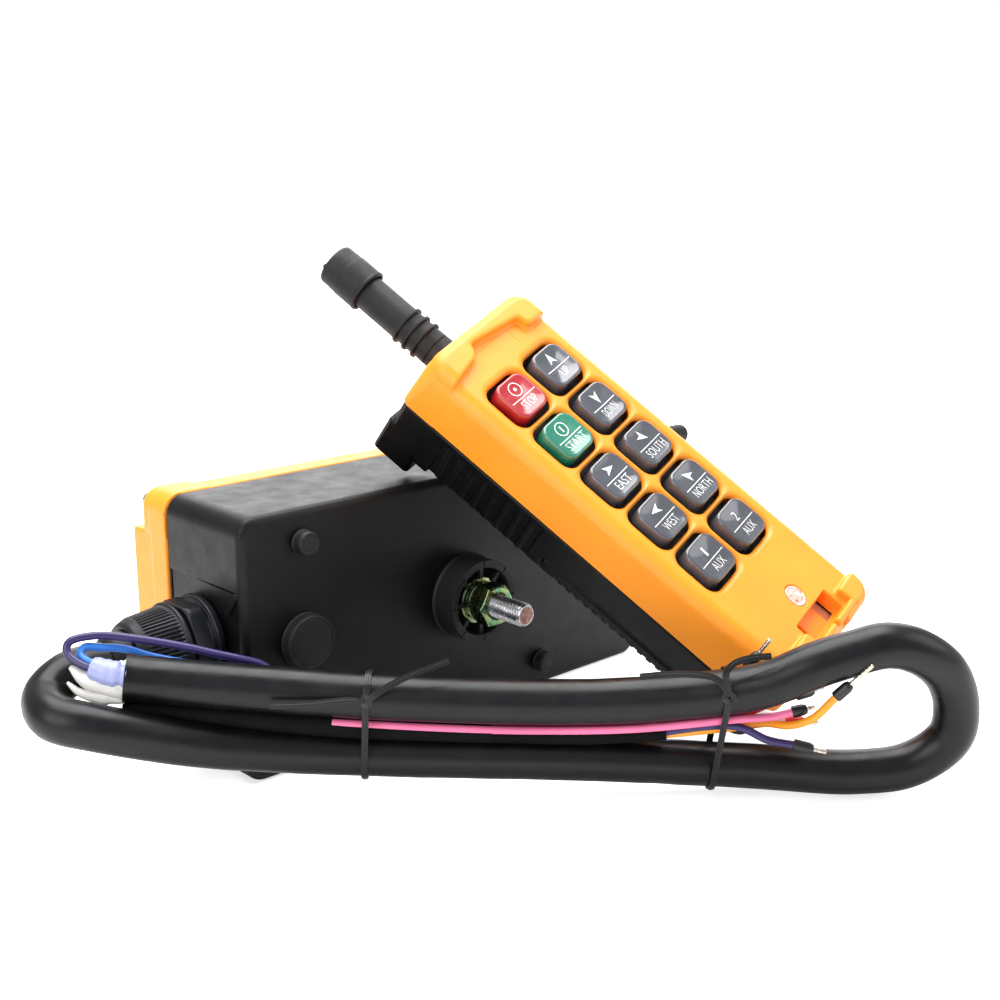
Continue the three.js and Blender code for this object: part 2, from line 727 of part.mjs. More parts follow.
function ledLens() {
  const { x, y, radius } = LED;
  const profile = [
    [0, -8],
    [radius - 1.2, -8],
    [radius, -6],
    [radius, 0.2],
    [radius - 1, 0.7],
    [0, 0.9],
  ];
  return moved(turned(profile), x, y, 0);
}

function caseScrew(x, y) {
  const under = REAR_Z + 3.2 - GAP;
  const body = turned([
    [0, under - 2],
    [2.2, under - 2],
    [2.8, under - 1.2],
    [2.8, under],
    [1.4, under],
    [1.4, -11],
    [0, -10],
  ], 12);
  return moved(cut(body, [box(-1.8, 1.8, -0.4, 0.4, under - 3, under - 1)]), x, y, 0);
}

function onAntennaAxis(body) {
  return aimed(body, "+y", [0, 0, ANTENNA.z]);
}

// A round seat centred on the flexing point, from the axis out to the rod's radius or back.
function seatArc(radius) {
  const out = [];
  for (let step = 0; step <= 5; step++) {
    const r = (ANTENNA.rod * step) / 5;
    out.push([r, ANTENNA.flex - Math.sqrt(radius * radius - r * r)]);
  }
  return out;
}

function antennaBase() {
  const { foot, rod, seat } = ANTENNA;
  return onAntennaAxis(turned([
    [0, foot],
    [1.5, foot],
    [1.5, SHELL_TOP + 0.2],
    [rod, SHELL_TOP + 0.2],
    ...seatArc(seat + GAP).reverse(),
  ], 24));
}

function antennaRod() {
  const { rod, ring: proud, core } = ANTENNA;
  const profile = seatArc(ANTENNA.seat);
  for (const at of ANTENNA_RINGS) {
    profile.push([rod, at - 0.8], [proud, at - 0.6], [proud, at + 0.6], [rod, at + 0.8]);
  }
  const { from } = ANTENNA_CAP;
  profile.push([rod, from - 0.6], [core, from - 0.3], [core, from + 14], [0, from + 14]);
  return onAntennaAxis(turned(profile, 24));
}

function antennaCap() {
  const { core } = ANTENNA;
  const { radius, from, tip } = ANTENNA_CAP;
  return onAntennaAxis(turned([
    [core + GAP, from],
    [radius, from],
    [radius, tip - 1.5],
    [radius - 1.5, tip],
    [1.3, tip],
    [1.1, tip + 3],
    [0, tip + 3.3],
    [0, from + 14 + GAP],
    [core + GAP, from + 14 + GAP],
    [core + GAP, from],
  ], 24));
}

function buildHandset() {
  const group = new THREE.Group();
  put(group, "handset_front_shell", frontShell(), paint.orange());
  put(group, "handset_rear_shell", rearShell(), paint.black());
  put(group, "handset_seam_gasket", seamGasket(), paint.rubber());
  put(group, "battery_door", batteryDoor(), paint.black());
  put(group, "battery_1", battery(-7.4, false), material(0x777c84, 0.4));
  put(group, "battery_2", battery(7.4, true), material(0x777c84, 0.4));
  put(group, "handset_circuit_board", handsetBoard(), paint.board());
  put(group, "keypad_membrane", keypadMembrane(), material(0x9a9c9f, 0.8));
  const caps = { stop: 0xc9303a, start: 0x1f8f63 };
  for (const { name, x, y } of buttonPlaces()) {
    put(group, `button_${name}`, button(x, y), material(caps[name] ?? 0x4a4c50, 0.15));
  }
  put(group, "led_lens", ledLens(), material(0xf3b7a8, 0.1));
  CASE_SCREWS.forEach(([x, y], i) => put(group, `case_screw_${i + 1}`, caseScrew(x, y), paint.steel()));
  put(group, "antenna_base", antennaBase(), paint.rubber());
  put(group, "antenna_rod", antennaRod(), paint.rubber());
  put(group, "antenna_cap", antennaCap(), paint.rubber());
  const { heading, lean, tilt } = HANDSET_TURN;
  group.rotation.set(rad(tilt), rad(lean), rad(heading), "ZYX");
  group.position.set(...HANDSET_AT);
  return group;
}

// ---------- lead ----------
const GLAND_LINE = new THREE.Vector3(Math.cos(rad(COIL_HEADING)), -Math.sin(rad(COIL_HEADING)), 0);

// A place on the gland's axis, `out` millimetres from the end wall, in the coil's frame.
function onGlandLine(out) {
  const wall = new THREE.Vector3(-BOX_LENGTH / 2, GLAND_Y, 0).sub(new THREE.Vector3(...COIL_AT));
  wall.applyAxisAngle(new THREE.Vector3(0, 0, 1), -rad(COIL_HEADING));
  return wall.addScaledVector(GLAND_LINE, -out).toArray();
}

const LEAD_PATH = [
  onGlandLine(-12),
  onGlandLine(14),
  onGlandLine(41),
  [-154, -4, 51.5],
  [-159, -14, 46],
  [-153, -26, 41.5],
  [-139, -28, 38.5],
  [-107, -13, 28.5],
  [-73, -3, 22.7],
  [-37, 2, 19],
  [37, 5, 15.8],
  [93, 7, 12],
  [131, 8, 9.2],
  [153, 9, 12],
  [166, 8, 23],
  [167, 6, 36],
  [161, 2, 50.5],
  [149, -3, 60.5],
  [137, -6, 64],
  [124, -7.5, 61.4],
  [110, -8, 56.8],
  [96, -7.5, 50.4],
  [80, -6, 46.4],
  [36, -4, 42],
  [-36, -5, 43.9],
  [-89, -8, 49],
  [-131, -14, 55],
];
const LEAD_CURVE = smooth(LEAD_PATH);

function smooth(points) {
  return new THREE.CatmullRomCurve3(points.map((p) => new THREE.Vector3(...p)), false, "centripetal");
}

// Where the upper or the lower run of the coil passes a given x.
function runAt(x, upper) {
  const [from, to] = upper ? [0.6, 1] : [0.15, 0.55];
  let best = LEAD_CURVE.getPoint(from);
  for (let i = 0; i <= 400; i++) {
    const here = LEAD_CURVE.getPoint(from + ((to - from) * i) / 400);
    if (Math.abs(here.x - x) < Math.abs(best.x - x)) best = here;
  }
  return best;
}

// A round tube swept along a smooth curve.
function tube(points, radius, steps, sides) {
  const g = new THREE.ExtrudeGeometry(circle(radius), {
    steps,
    curveSegments: sides,
    bevelEnabled: false,
    extrudePath: smooth(points),
  });
  return solid(g);
}

// A place beside the upper run: `turn` is 0 at the front, 90 above, 180 behind and 270 below.
function beside(x, radius, turn) {
  const run = runAt(x, true);
  return [x, run.y - radius * Math.cos(rad(turn)), run.z + radius * Math.sin(rad(turn))];
}

// The place of a wire in the bundle between the two runs, from the upper run's centre.
const LANES = {
  pink: [-1.6, -11],
  violet: [-1.6, -15.2],
  red: [2.3, -11],
  orange: [2.4, -15.1],
  white: [5.9, -11.2],
  blue: [9.4, -11.4],
};

function lane(name, from, to) {
  const [dy, dz] = LANES[name];
  return [0, 0.25, 0.5, 0.75, 1].map((share) => {
    const x = from + share * (to - from);
    const run = runAt(x, true);
    return [x, run.y + dy, run.z + dz];
  });
}

// Each wire leaves the cut end, folds back over the sheath and ends in a crimped ferrule.
const CUT_END = LEAD_PATH[LEAD_PATH.length - 1];
function fromCutEnd(out, forward, up) {
  return [CUT_END[0] - out, CUT_END[1] - forward - out * 0.14, CUT_END[2] + up + out * 0.1];
}

const BUNDLE_FROM = -60;
const WIRES = {
  violet: {
    color: 0x3a2568,
    path: [
      fromCutEnd(0.8, 4.3, 2.2),
      fromCutEnd(9, 4.2, 2.4),
      [-149.5, -16.5, 60.5],
      [-149, -13.5, 67],
      [-139, -11.5, 71],
      [-120, -10.5, 67.5],
      beside(-102, 11.8, 98),
      beside(-94, 13.6, 118),
      beside(-87, 13.8, 160),
      beside(-81, 14, 200),
      beside(-75, 14.4, 238),
      beside(-68, 15, 266),
      ...lane("violet", BUNDLE_FROM, 84),
      [97, -4, 27],
      [107, -5, 25.5],
    ],
    end: [117.5, -6.5, 23.5],
  },
  blue: {
    color: 0x1f7fd0,
    path: [
      fromCutEnd(0.8, 0.7, 4.6),
      fromCutEnd(5, 0.5, 5.2),
      [-144, -13, 62.5],
      [-141, -9.2, 66.3],
      [-131, -6, 65.4],
      beside(-116, 10.2, 137),
      beside(-104, 10.2, 137),
      beside(-88, 10, 137),
      beside(-78, 10, 147),
      beside(-68, 12.4, 190),
      ...lane("blue", BUNDLE_FROM, 80),
      [88, 5, 38],
      [93.5, 3.8, 49],
    ],
    end: [96, 1.6, 62.5],
  },
  white: {
    color: 0xe8e6e0,
    path: [
      fromCutEnd(0.8, 2.6, -3.3),
      fromCutEnd(6, 3, -3.6),
      [-146, -15, 50.8],
      [-144, -8, 51.8],
      [-139, -1.8, 54.4],
      [-127, -3.3, 54.4],
      beside(-114, 9.9, 181),
      beside(-88, 9.9, 181),
      beside(-76, 9.9, 200),
      beside(-67, 11.3, 228),
      ...lane("white", BUNDLE_FROM, 84),
      [98, 5, 33.5],
      [109, 4, 32],
    ],
    end: [119.5, 3, 31],
  },
  red: {
    color: 0xc8202c,
    path: [
      fromCutEnd(1.2, -4.2, 0.2),
      fromCutEnd(4, -4.8, -0.3),
      [-138.6, -6.6, 53],
      [-136, -3.4, 50.8],
      [-128, -3.4, 50.4],
      beside(-113, 9.9, 204),
      beside(-88, 9.9, 204),
      beside(-76, 9.9, 225),
      beside(-67, 10.8, 247),
      ...lane("red", BUNDLE_FROM, 84),
      [98, 0.5, 39.5],
      [109, 1, 41],
    ],
    end: [119, 1.5, 43.5],
  },
  pink: {
    color: 0xf07fae,
    path: [
      fromCutEnd(1.2, -1, -4.6),
      fromCutEnd(4.5, -1.4, -5.4),
      [-140, -12, 46.8],
      [-136.5, -7, 43.4],
      [-127.5, -6.2, 44],
      beside(-113, 9.9, 229),
      beside(-88, 9.9, 229),
      beside(-76, 10, 248),
      beside(-67, 10.8, 266),
      ...lane("pink", BUNDLE_FROM, 84),
      [98, -3.6, 36],
      [108, -4, 36.8],
    ],
    end: [113, -4.2, 37.4],
  },
  orange: {
    color: 0xe39a1c,
    path: [
      fromCutEnd(0.8, -3.2, 3.6),
      fromCutEnd(3.6, -3.8, 4.4),
      [-139, -6.5, 62.5],
      [-134, -4.2, 60.6],
      [-126, -3.3, 58.3],
      beside(-114, 9.9, 159),
      beside(-88, 9.9, 159),
      beside(-82, 10.8, 164),
      beside(-77, 13.6, 172),
      beside(-71, 14.3, 206),
      beside(-65.5, 15, 238),
      ...lane("orange", BUNDLE_FROM, 84),
      [97, 0.8, 31.6],
      [104, -4.5, 32.2],
      [112, -10, 35.5],
      [119.5, -12, 41],
      [125, -13, 46.5],
    ],
    end: [133, -16, 55],
  },
};

// A wire with the plastic collar and the metal pin of its ferrule.
function wire({ path, end }) {
  const last = path[path.length - 1];
  const toward = new THREE.Vector3(...end).sub(new THREE.Vector3(...last));
  const long = toward.length();
  const collar = Math.min(6, long * 0.6);
  const ferrule = pin(WIRE_RADIUS + 0.5, -0.5, collar, 8).add(pin(0.9, -0.2, long, 6));
  const turn = new THREE.Quaternion().setFromUnitVectors(new THREE.Vector3(0, 0, 1), toward.normalize());
  const placed = new THREE.Matrix4().compose(new THREE.Vector3(...last), turn, new THREE.Vector3(1, 1, 1));
  return tube(path, WIRE_RADIUS, 38, 3).add(solid(geometryOf(ferrule).applyMatrix4(placed)));
}

// A tie wound round both runs of the coil, with its two loose tails.
const TIE_TAILS = [
  [[-47, -15.3, 46], [-44, -15.7, 49], [-34, -13.4, 54.4], [-18, -9.4, 59.6]],
  [[-47, -15.3, 46], [-52, -16.3, 47.5], [-66, -18.1, 46.8], [-80, -18.9, 46.5]],
  [[80, -16.3, 48], [83, -16.9, 52.5], [90, -17.4, 59.5], [98, -15.4, 64]],
  [[80, -16.3, 48], [74, -15.5, 51.8], [58, -12.4, 53.6], [42, -10, 53.4]],
];

function tie(index) {
  const x = TIES[index];
  const [up, low] = [runAt(x, true), runAt(x, false)];
  const apart = Math.hypot(up.y - low.y, up.z - low.z);
  const inner = CABLE_RADIUS + 0.9;
  const around = (r) => roundRect(2 * r, apart + 2 * r, r - 0.01);
  const band = cut(slab(around(inner + 0.9), -1.2, 1.2), [slab(around(inner), -3, 3)]);
  const along = new THREE.Vector3(0, up.y - low.y, up.z - low.z).normalize();
  const across = new THREE.Vector3().crossVectors(along, new THREE.Vector3(1, 0, 0));
  const stood = new THREE.Matrix4().makeBasis(across, along, new THREE.Vector3(1, 0, 0));
  stood.setPosition(x, (up.y + low.y) / 2, (up.z + low.z) / 2);
  const tails = TIE_TAILS.slice(2 * index, 2 * index + 2).map((tail) => tube(tail, 1, 8, 3));
  return union([solid(geometryOf(band).applyMatrix4(stood)), ...tails]);
}

function buildLead() {
  const group = new THREE.Group();
  put(group, "cable", tube(LEAD_PATH, CABLE_RADIUS, 80, 5), material(0x1a1a1c, 0.45));
  for (const [name, made] of Object.entries(WIRES)) {
    put(group, `wire_${name}`, wire(made), material(made.color, 0.4));
  }
  TIES.forEach((x, i) => put(group, `cable_tie_${i + 1}`, tie(i), paint.black()));
  group.rotation.z = rad(COIL_HEADING);
  group.position.set(...COIL_AT);
  return group;
}

const set = new THREE.Group();
set.add(buildReceiver(), buildHandset(), buildLead());

export default set;
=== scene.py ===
# Radio pendant control set: hand transmitter, receiver with its mounting stud and gland, and the
# coiled lead. Lengths are in millimetres until a mesh is made.
import json
import math
import bmesh
import bpy
import numpy as np
from mathutils import Matrix, Vector


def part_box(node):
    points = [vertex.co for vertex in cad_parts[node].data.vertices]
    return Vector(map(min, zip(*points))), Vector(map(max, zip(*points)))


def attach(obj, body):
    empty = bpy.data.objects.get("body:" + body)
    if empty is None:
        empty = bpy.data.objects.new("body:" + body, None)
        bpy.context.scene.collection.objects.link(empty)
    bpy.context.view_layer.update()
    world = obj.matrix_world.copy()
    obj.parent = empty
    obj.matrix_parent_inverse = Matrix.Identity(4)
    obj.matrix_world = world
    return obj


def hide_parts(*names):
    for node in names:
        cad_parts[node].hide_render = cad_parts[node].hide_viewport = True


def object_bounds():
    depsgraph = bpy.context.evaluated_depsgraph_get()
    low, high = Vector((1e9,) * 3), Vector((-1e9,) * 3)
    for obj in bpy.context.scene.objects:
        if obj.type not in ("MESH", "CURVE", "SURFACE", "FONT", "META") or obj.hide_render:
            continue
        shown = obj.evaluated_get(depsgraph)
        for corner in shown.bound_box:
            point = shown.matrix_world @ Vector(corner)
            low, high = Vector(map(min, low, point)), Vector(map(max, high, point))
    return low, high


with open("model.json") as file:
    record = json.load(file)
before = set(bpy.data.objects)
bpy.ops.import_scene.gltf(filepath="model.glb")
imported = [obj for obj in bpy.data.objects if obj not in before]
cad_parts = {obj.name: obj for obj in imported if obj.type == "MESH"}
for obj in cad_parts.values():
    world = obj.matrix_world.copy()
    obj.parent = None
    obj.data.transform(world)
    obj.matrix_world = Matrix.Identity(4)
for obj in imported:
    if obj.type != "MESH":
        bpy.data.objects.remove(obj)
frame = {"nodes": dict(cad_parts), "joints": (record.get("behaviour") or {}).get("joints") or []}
CAD_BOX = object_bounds()
NODES = frame["nodes"]
JOINTS = {j["name"]: j for j in frame["joints"]}
MM = 0.001


def box_mm(node):
    low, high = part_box(node)
    return np.array(low) / MM, np.array(high) / MM


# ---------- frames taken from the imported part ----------
def handset_frame():
    """Hand transmitter: x across, y towards the antenna, z out of the button face."""
    flex = JOINTS["handset_antenna_flex"]
    across = Vector(flex["axis"]).normalized()
    along = -Vector(JOINTS["battery_door_slide"]["axis"]).normalized()
    out = -Vector(JOINTS["button_stop_press"]["axis"]).normalized()
    m = Matrix.Identity(4)
    for i in range(3):
        m[i][0], m[i][1], m[i][2] = across[i], along[i], out[i]
    at = Vector(flex["pos_m"]) / MM - m.to_3x3() @ Vector((0, ANTENNA["flex"], ANTENNA["z"]))
    m.translation = at
    return m


# Sizes of the hand transmitter
SHELL_HALF = 35.0
SHELL_DRAFT = 3.4
SHELL_TOP = 35.2
SHELL_TAIL = -152.0
SHELL_MIDDLE = (SHELL_TOP + SHELL_TAIL) / 2
SHELL_HALF_LONG = (SHELL_TOP - SHELL_TAIL) / 2
END_LEAN = 1.7
SEAM_Z = -21.5
REAR_TOP_Z = -22.6
REAR_Z = -45.3
BLOCK_Z = -55.6
RIM_HIGH = 4.0
ROW_PITCH = 23.8
COLUMN_PITCH = 25.0
WELL = 21.2
WELL_CORNER = 5
WELL_ROUND = 3.4
FRONT_WALL = 3
CAP = 17.8
LED = (2.9, -129.4)
LED_OPENING = (4.1, 4.9)
POCKET = {"x": 2.9, "half": 12.1, "low": -146.3, "high": -136.6, "floor": -5.5}
DOOR_TOP = -46.5
DOOR_LINE_Z = -37.5
DOOR_GAP = 0.3
RIBS = {"count": 9, "first": 12.5, "pitch": 6.1, "wide": 3.4, "deep": 1.3}
DOOR_TEETH = {"count": 16, "pitch": 4.6}
DOOR_GRIPS = {"count": 6, "first": -62.0, "pitch": 2.6}
CASE_SCREWS = [(-28, 26), (28, 26), (-28.5, -38), (28.5, -38)]
CASE_SCREW_SEAT = {"radius": 3.3, "deep": 3.2}
ANTENNA = {"z": -24.6, "foot": 29.0, "flex": 47.0, "rod": 7.5, "ring": 8.5, "seat": 8.0, "core": 5.6,
           "cap": 9.4, "cap_from": 81.4, "tip": 100.2}
ANTENNA_RINGS = (50.0, 54.8, 59.6)
BUTTONS = [("stop", "up"), ("start", "down"), ("east", "south"), ("west", "north"), ("aux_1", "aux_2")]

# Sizes of the receiver
FACE_Y = 37.0
RIM_Y = 87.8
COVER_Y = 89.4
BOX_HALF = (109.0, 52.0)
BOX_CORNER = 8.0
COVER_FLANGE = 12.0
COVER_DEPTH = 27.0
CORNER_PAD = {"x": 88.0, "z": 34.5, "high": 17.5}
LID = {"x": 108.2, "z": 46.5, "corner": 5.0}
COVER_SCREWS = (102.5, 45.0)
BOSS = {"radius": 6, "hole": 2.1, "deep": 14}
HOUSING_WALL = 3.2
STUB = (61, 42)
GLAND_Y = 66.0
CABLE_RADIUS = 8.3
WIRE_RADIUS = 1.45

HANDSET = handset_frame()
ROW = Matrix.Identity(4)


# ---------- meshes ----------
def piece(name, points, faces, look, body, place=ROW, replaces=(), slot=None, crease=35, normals=None):
    """A finished mesh in the row frame, riding on its CAD body."""
    m = np.array(place)
    pts = (np.asarray(points, float) @ m[:3, :3].T + m[:3, 3]) * MM
    mesh = bpy.data.meshes.new(name)
    if isinstance(faces, np.ndarray):
        quads = faces.shape[1]
        mesh.vertices.add(len(pts))
        mesh.vertices.foreach_set("co", pts.astype(np.float32).ravel())
        mesh.loops.add(faces.size)
        mesh.loops.foreach_set("vertex_index", faces.astype(np.int32).ravel())
        mesh.polygons.add(len(faces))
        mesh.polygons.foreach_set("loop_start", np.arange(0, faces.size, quads, dtype=np.int32))
        mesh.update(calc_edges=True)
    else:
        mesh.from_pydata(pts.tolist(), [], faces)
    mesh.shade_smooth()
    if normals is not None:
        turned = np.asarray(normals) @ m[:3, :3].T
        mesh.normals_split_custom_set_from_vertices(turned.tolist())
    elif crease:
        mesh.set_sharp_from_angle(angle=math.radians(crease))
    mesh.materials.append(look)
    obj = bpy.data.objects.new(name, mesh)
    bpy.context.scene.collection.objects.link(obj)
    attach(obj, body)
    if replaces:
        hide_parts(*([replaces] if isinstance(replaces, str) else replaces))
    return obj


def joined(parts):
    """Several (points, faces) pairs as one."""
    points, faces, start = [], [], 0
    for p, f in parts:
        points.append(np.asarray(p, float))
        faces += [[i + start for i in face] for face in f]
        start += len(p)
    return np.vstack(points), faces


def axis_matrix(direction, at=(0, 0, 0)):
    """Turns +Z to a direction and moves to a place."""
    turn = Vector((0, 0, 1)).rotation_difference(Vector(direction)).to_matrix().to_4x4()
    turn.translation = Vector(at)
    return turn


def softened(profile, radius=0.5, steps=3):
    """A turned outline with its corners rounded."""
    out = [profile[0]]
    for before, here, after in zip(profile, profile[1:], profile[2:]):
        a, b, c = (np.array(p[:2], float) for p in (before, here, after))
        r = here[2] if len(here) > 2 else radius
        u, v = a - b, c - b
        lu, lv = np.linalg.norm(u), np.linalg.norm(v)
        if lu < 1e-6 or lv < 1e-6 or r <= 0:
            out.append(tuple(b))
            continue
        cut = min(r, lu * 0.45, lv * 0.45)
        p, q = b + u / lu * cut, b + v / lv * cut
        for i in range(steps + 1):
            t = i / steps
            out.append(tuple((1 - t) ** 2 * p + 2 * t * (1 - t) * b + t * t * q))
    out.append(profile[-1])
    return [p[:2] for p in out]


def lathe(profile, sides=64, radius_at=None):
    """A turned body about Z from (radius, height) pairs; radius_at(r, h, angle) shapes it."""
    angles = np.arange(sides) * 2 * math.pi / sides
    points, rings = [], []
    for r, h in profile:
        if r < 1e-6:
            rings.append([len(points)])
            points.append((0, 0, h))
            continue
        rings.append(list(range(len(points), len(points) + sides)))
        for a in angles:
            s = radius_at(r, h, a) if radius_at else r
            points.append((s * math.cos(a), s * math.sin(a), h))
    faces = []
    for low, high in zip(rings, rings[1:]):
        if len(low) == 1 and len(high) == 1:
            continue
        for i in range(sides):
            j = (i + 1) % sides
            if len(low) == 1:
                faces.append([low[0], high[j], high[i]])
            elif len(high) == 1:
                faces.append([low[i], low[j], high[0]])
            else:
                faces.append([low[i], low[j], high[j], high[i]])
    if profile[0] == profile[-1] and len(rings[0]) > 1:
        shift = {b: a for a, b in zip(rings[0], rings[-1])}
        faces = [[shift.get(i, i) for i in f] for f in faces]
        points = points[: -sides]
    return np.array(points), faces


def turned(name, profile, look, body, place, soft=0.3, sides=64, **more):
    """A lathe piece with softened corners."""
    return piece(name, *lathe(softened(profile, soft), sides), look, body, place, **more)


def smooth_path(points, per=12):
    """A centripetal curve through the points; returns places and the point number they lie at."""
    p = np.array(points, float)
    ends = np.vstack([2 * p[0] - p[1], p, 2 * p[-1] - p[-2]])
    out, where = [], []
    for i in range(len(p) - 1):
        a, b, c, d = ends[i : i + 4]
        t0, t1, t2 = (max(np.linalg.norm(v) ** 0.5, 1e-4) for v in (b - a, c - b, d - c))
        m1 = ((b - a) / t0 - (c - a) / (t0 + t1) + (c - b) / t1) * t1
        m2 = ((c - b) / t1 - (d - b) / (t1 + t2) + (d - c) / t2) * t1
        for k in range(per):
            t = k / per
            h = (2 * t**3 - 3 * t * t + 1, t**3 - 2 * t * t + t, -2 * t**3 + 3 * t * t, t**3 - t * t)
            out.append(h[0] * b + h[1] * m1 + h[2] * c + h[3] * m2)
            where.append(i + t)
    return np.vstack(out + [p[-1]]), np.array(where + [len(p) - 1])


def spaced(path, gap):
    """The same path with even spacing."""
    away = np.concatenate([[0], np.cumsum(np.linalg.norm(np.diff(path, axis=0), axis=1))])
    count = max(3, int(round(away[-1] / gap)) + 1)
    at = np.linspace(0, away[-1], count)
    return np.stack([np.interp(at, away, path[:, i]) for i in range(3)], axis=1), at


def frames_along(path, up=(0, 0, 1)):
    """Tangent, side and up vectors carried along a path without twist."""
    tangent = np.gradient(path, axis=0)
    tangent /= np.linalg.norm(tangent, axis=1)[:, None]
    normal = np.array(up, float) - np.dot(up, tangent[0]) * tangent[0]
    normal /= np.linalg.norm(normal)
    sides, ups = [], []
    for t in tangent:
        normal = normal - np.dot(normal, t) * t
        normal /= np.linalg.norm(normal)
        ups.append(normal.copy())
        sides.append(np.cross(normal, t))
    return tangent, np.array(sides), np.array(ups)


def sweep(path, section, up=(0, 0, 1), scale_at=None, caps=True):
    """A section [(side, up), ...] carried along a path."""
    _, side, upward = frames_along(path, up)
    points = []
    for i, centre in enumerate(path):
        k = scale_at[i] if scale_at is not None else 1.0
        for s, u in section:
            points.append(centre + side[i] * s * k + upward[i] * u * k)
    n, faces = len(section), []
    for i in range(len(path) - 1):
        for j in range(n):
            k = (j + 1) % n
            faces.append([i * n + j, i * n + k, (i + 1) * n + k, (i + 1) * n + j])
    if caps:
        last = (len(path) - 1) * n
        faces.append(list(range(n))[::-1])
        faces.append([last + j for j in range(n)])
    return np.array(points), faces


def round_section(radius, sides=20):
    a = np.arange(sides) * 2 * math.pi / sides
    return list(zip(radius * np.cos(a), radius * np.sin(a)))


def cut_corners(x, y, cut):
    """A rectangular section of half sizes x and y with its corners cut."""
    return [(-x, -(y - cut)), (-(x - cut), -y), (x - cut, -y), (x, -(y - cut)),
            (x, y - cut), (x - cut, y), (-(x - cut), y), (-x, y - cut)]


# ---------- distance functions for the moulded bodies ----------
def rect2(x, y, hx, hy, r):
    """Signed distance to a rounded rectangle."""
    qx, qy = np.abs(x) - (hx - r), np.abs(y) - (hy - r)
    return np.hypot(np.maximum(qx, 0), np.maximum(qy, 0)) + np.minimum(np.maximum(qx, qy), 0) - r


def prism(flat, z, z0, z1, r=0.0):
    """A flat outline's distance pushed from z0 to z1, with edges rounded by r."""
    a = flat + r
    b = np.abs(z - (z0 + z1) / 2) - (z1 - z0) / 2 + r
    return np.hypot(np.maximum(a, 0), np.maximum(b, 0)) + np.minimum(np.maximum(a, b), 0) - r


def block(x, y, z, x0, x1, y0, y1, z0, z1, r=0.5):
    flat = rect2(x - (x0 + x1) / 2, y - (y0 + y1) / 2, (x1 - x0) / 2, (y1 - y0) / 2, r)
    return prism(flat, z, z0, z1, r)


def add(a, b, k=0.01):
    h = np.maximum(k - np.abs(a - b), 0) / k
    return np.minimum(a, b) - h * h * k / 4


def both(a, b, k=0.01):
    return -add(-a, -b, k)


def less(a, b, k=0.01):
    return -add(-a, b, k)


def hexagon(x, y, flat):
    """Distance to a hexagon, from its width across flats."""
    sides = np.maximum(np.abs(x * 0.5 + y * math.sqrt(3) / 2), np.abs(x * 0.5 - y * math.sqrt(3) / 2))
    return np.maximum(sides, np.abs(x)) - flat / 2


def repeated(y, first, pitch, last):
    """Position along y from the nearest of a row of marks; the row runs down from `first`."""
    return y - first + pitch * np.clip(np.round((first - y) / pitch), 0, last)


CORNERS = np.array([(i, j, k) for i in (0, 1) for j in (0, 1) for k in (0, 1)])
EDGES = [(a, b) for a in range(8) for b in range(a + 1, 8) if np.abs(CORNERS[a] - CORNERS[b]).sum() == 1]


SNAPS = 2


def moulded(field, low, high, step):
    """A closed mesh with normals where field(x, y, z) is below zero."""
    axes = [np.arange(a - 2 * step, b + 2.5 * step, step, dtype=np.float32) for a, b in zip(low, high)]
    grid = np.meshgrid(*axes, indexing="ij", sparse=True)
    d = np.asarray(field(*grid), np.float32)
    inside = d < 0
    count = sum(inside[i : d.shape[0] - 1 + i, j : d.shape[1] - 1 + j, k : d.shape[2] - 1 + k].astype(np.int8)
                for i, j, k in CORNERS)
    cells = np.argwhere((count > 0) & (count < 8))
    values = np.stack([d[tuple((cells + c).T)] for c in CORNERS], axis=1)
    total, hits = np.zeros((len(cells), 3)), np.zeros(len(cells))
    for a, b in EDGES:
        va, vb = values[:, a], values[:, b]
        crossing = (va < 0) != (vb < 0)
        t = np.where(crossing, va / np.where(crossing, va - vb, 1), 0)[:, None]
        total += (CORNERS[a] + t * (CORNERS[b] - CORNERS[a])) * crossing[:, None]
        hits += crossing
    points = (cells + total / hits[:, None]) * step + np.array([a[0] for a in axes])
    number = np.full(count.shape, -1, np.int64)
    number[tuple(cells.T)] = np.arange(len(cells))
    faces = []
    for axis in range(3):
        u, v = (axis + 1) % 3, (axis + 2) % 3
        one = [slice(1, -1)] * 3
        one[axis] = slice(0, -1)
        two = list(one)
        two[axis] = slice(1, None)
        a, b = inside[tuple(one)], inside[tuple(two)]
        for start, flip in ((a & ~b, False), (b & ~a, True)):
            at = np.argwhere(start) + 1
            at[:, axis] -= 1
            du, dv = np.zeros(3, int), np.zeros(3, int)
            du[u], dv[v] = 1, 1
            ring = [at - du - dv, at - dv, at, at - du]
            quad = np.stack([number[tuple(r.T)] for r in ring], axis=1)
            faces.append(quad[:, ::-1] if flip else quad)
    for _ in range(SNAPS):
        value, slope = sloped(field, points, step * 0.2)
        size = np.maximum((slope**2).sum(1), 0.05)
        shift = slope * (value / size)[:, None]
        points = points - np.clip(shift, -0.5 * step, 0.5 * step)
    _, slope = sloped(field, points, step * 0.35)
    normals = slope / np.maximum(np.linalg.norm(slope, axis=1), 1e-9)[:, None]
    return points, np.vstack(faces), normals


def sloped(field, p, h):
    """A field's value and slope at points."""
    x, y, z = (p[:, i].astype(np.float64) for i in range(3))
    slope = [
        (field(x + h, y, z) - field(x - h, y, z)) / (2 * h),
        (field(x, y + h, z) - field(x, y - h, z)) / (2 * h),
        (field(x, y, z + h) - field(x, y, z - h)) / (2 * h),
    ]
    return field(x, y, z), np.stack(slope, axis=1)


def moulded_piece(name, field, low, high, step, look, body, **more):
    points, faces, normals = moulded(field, low, high, step * (1))
    return piece(name, points, faces, look, body, normals=normals, **more)


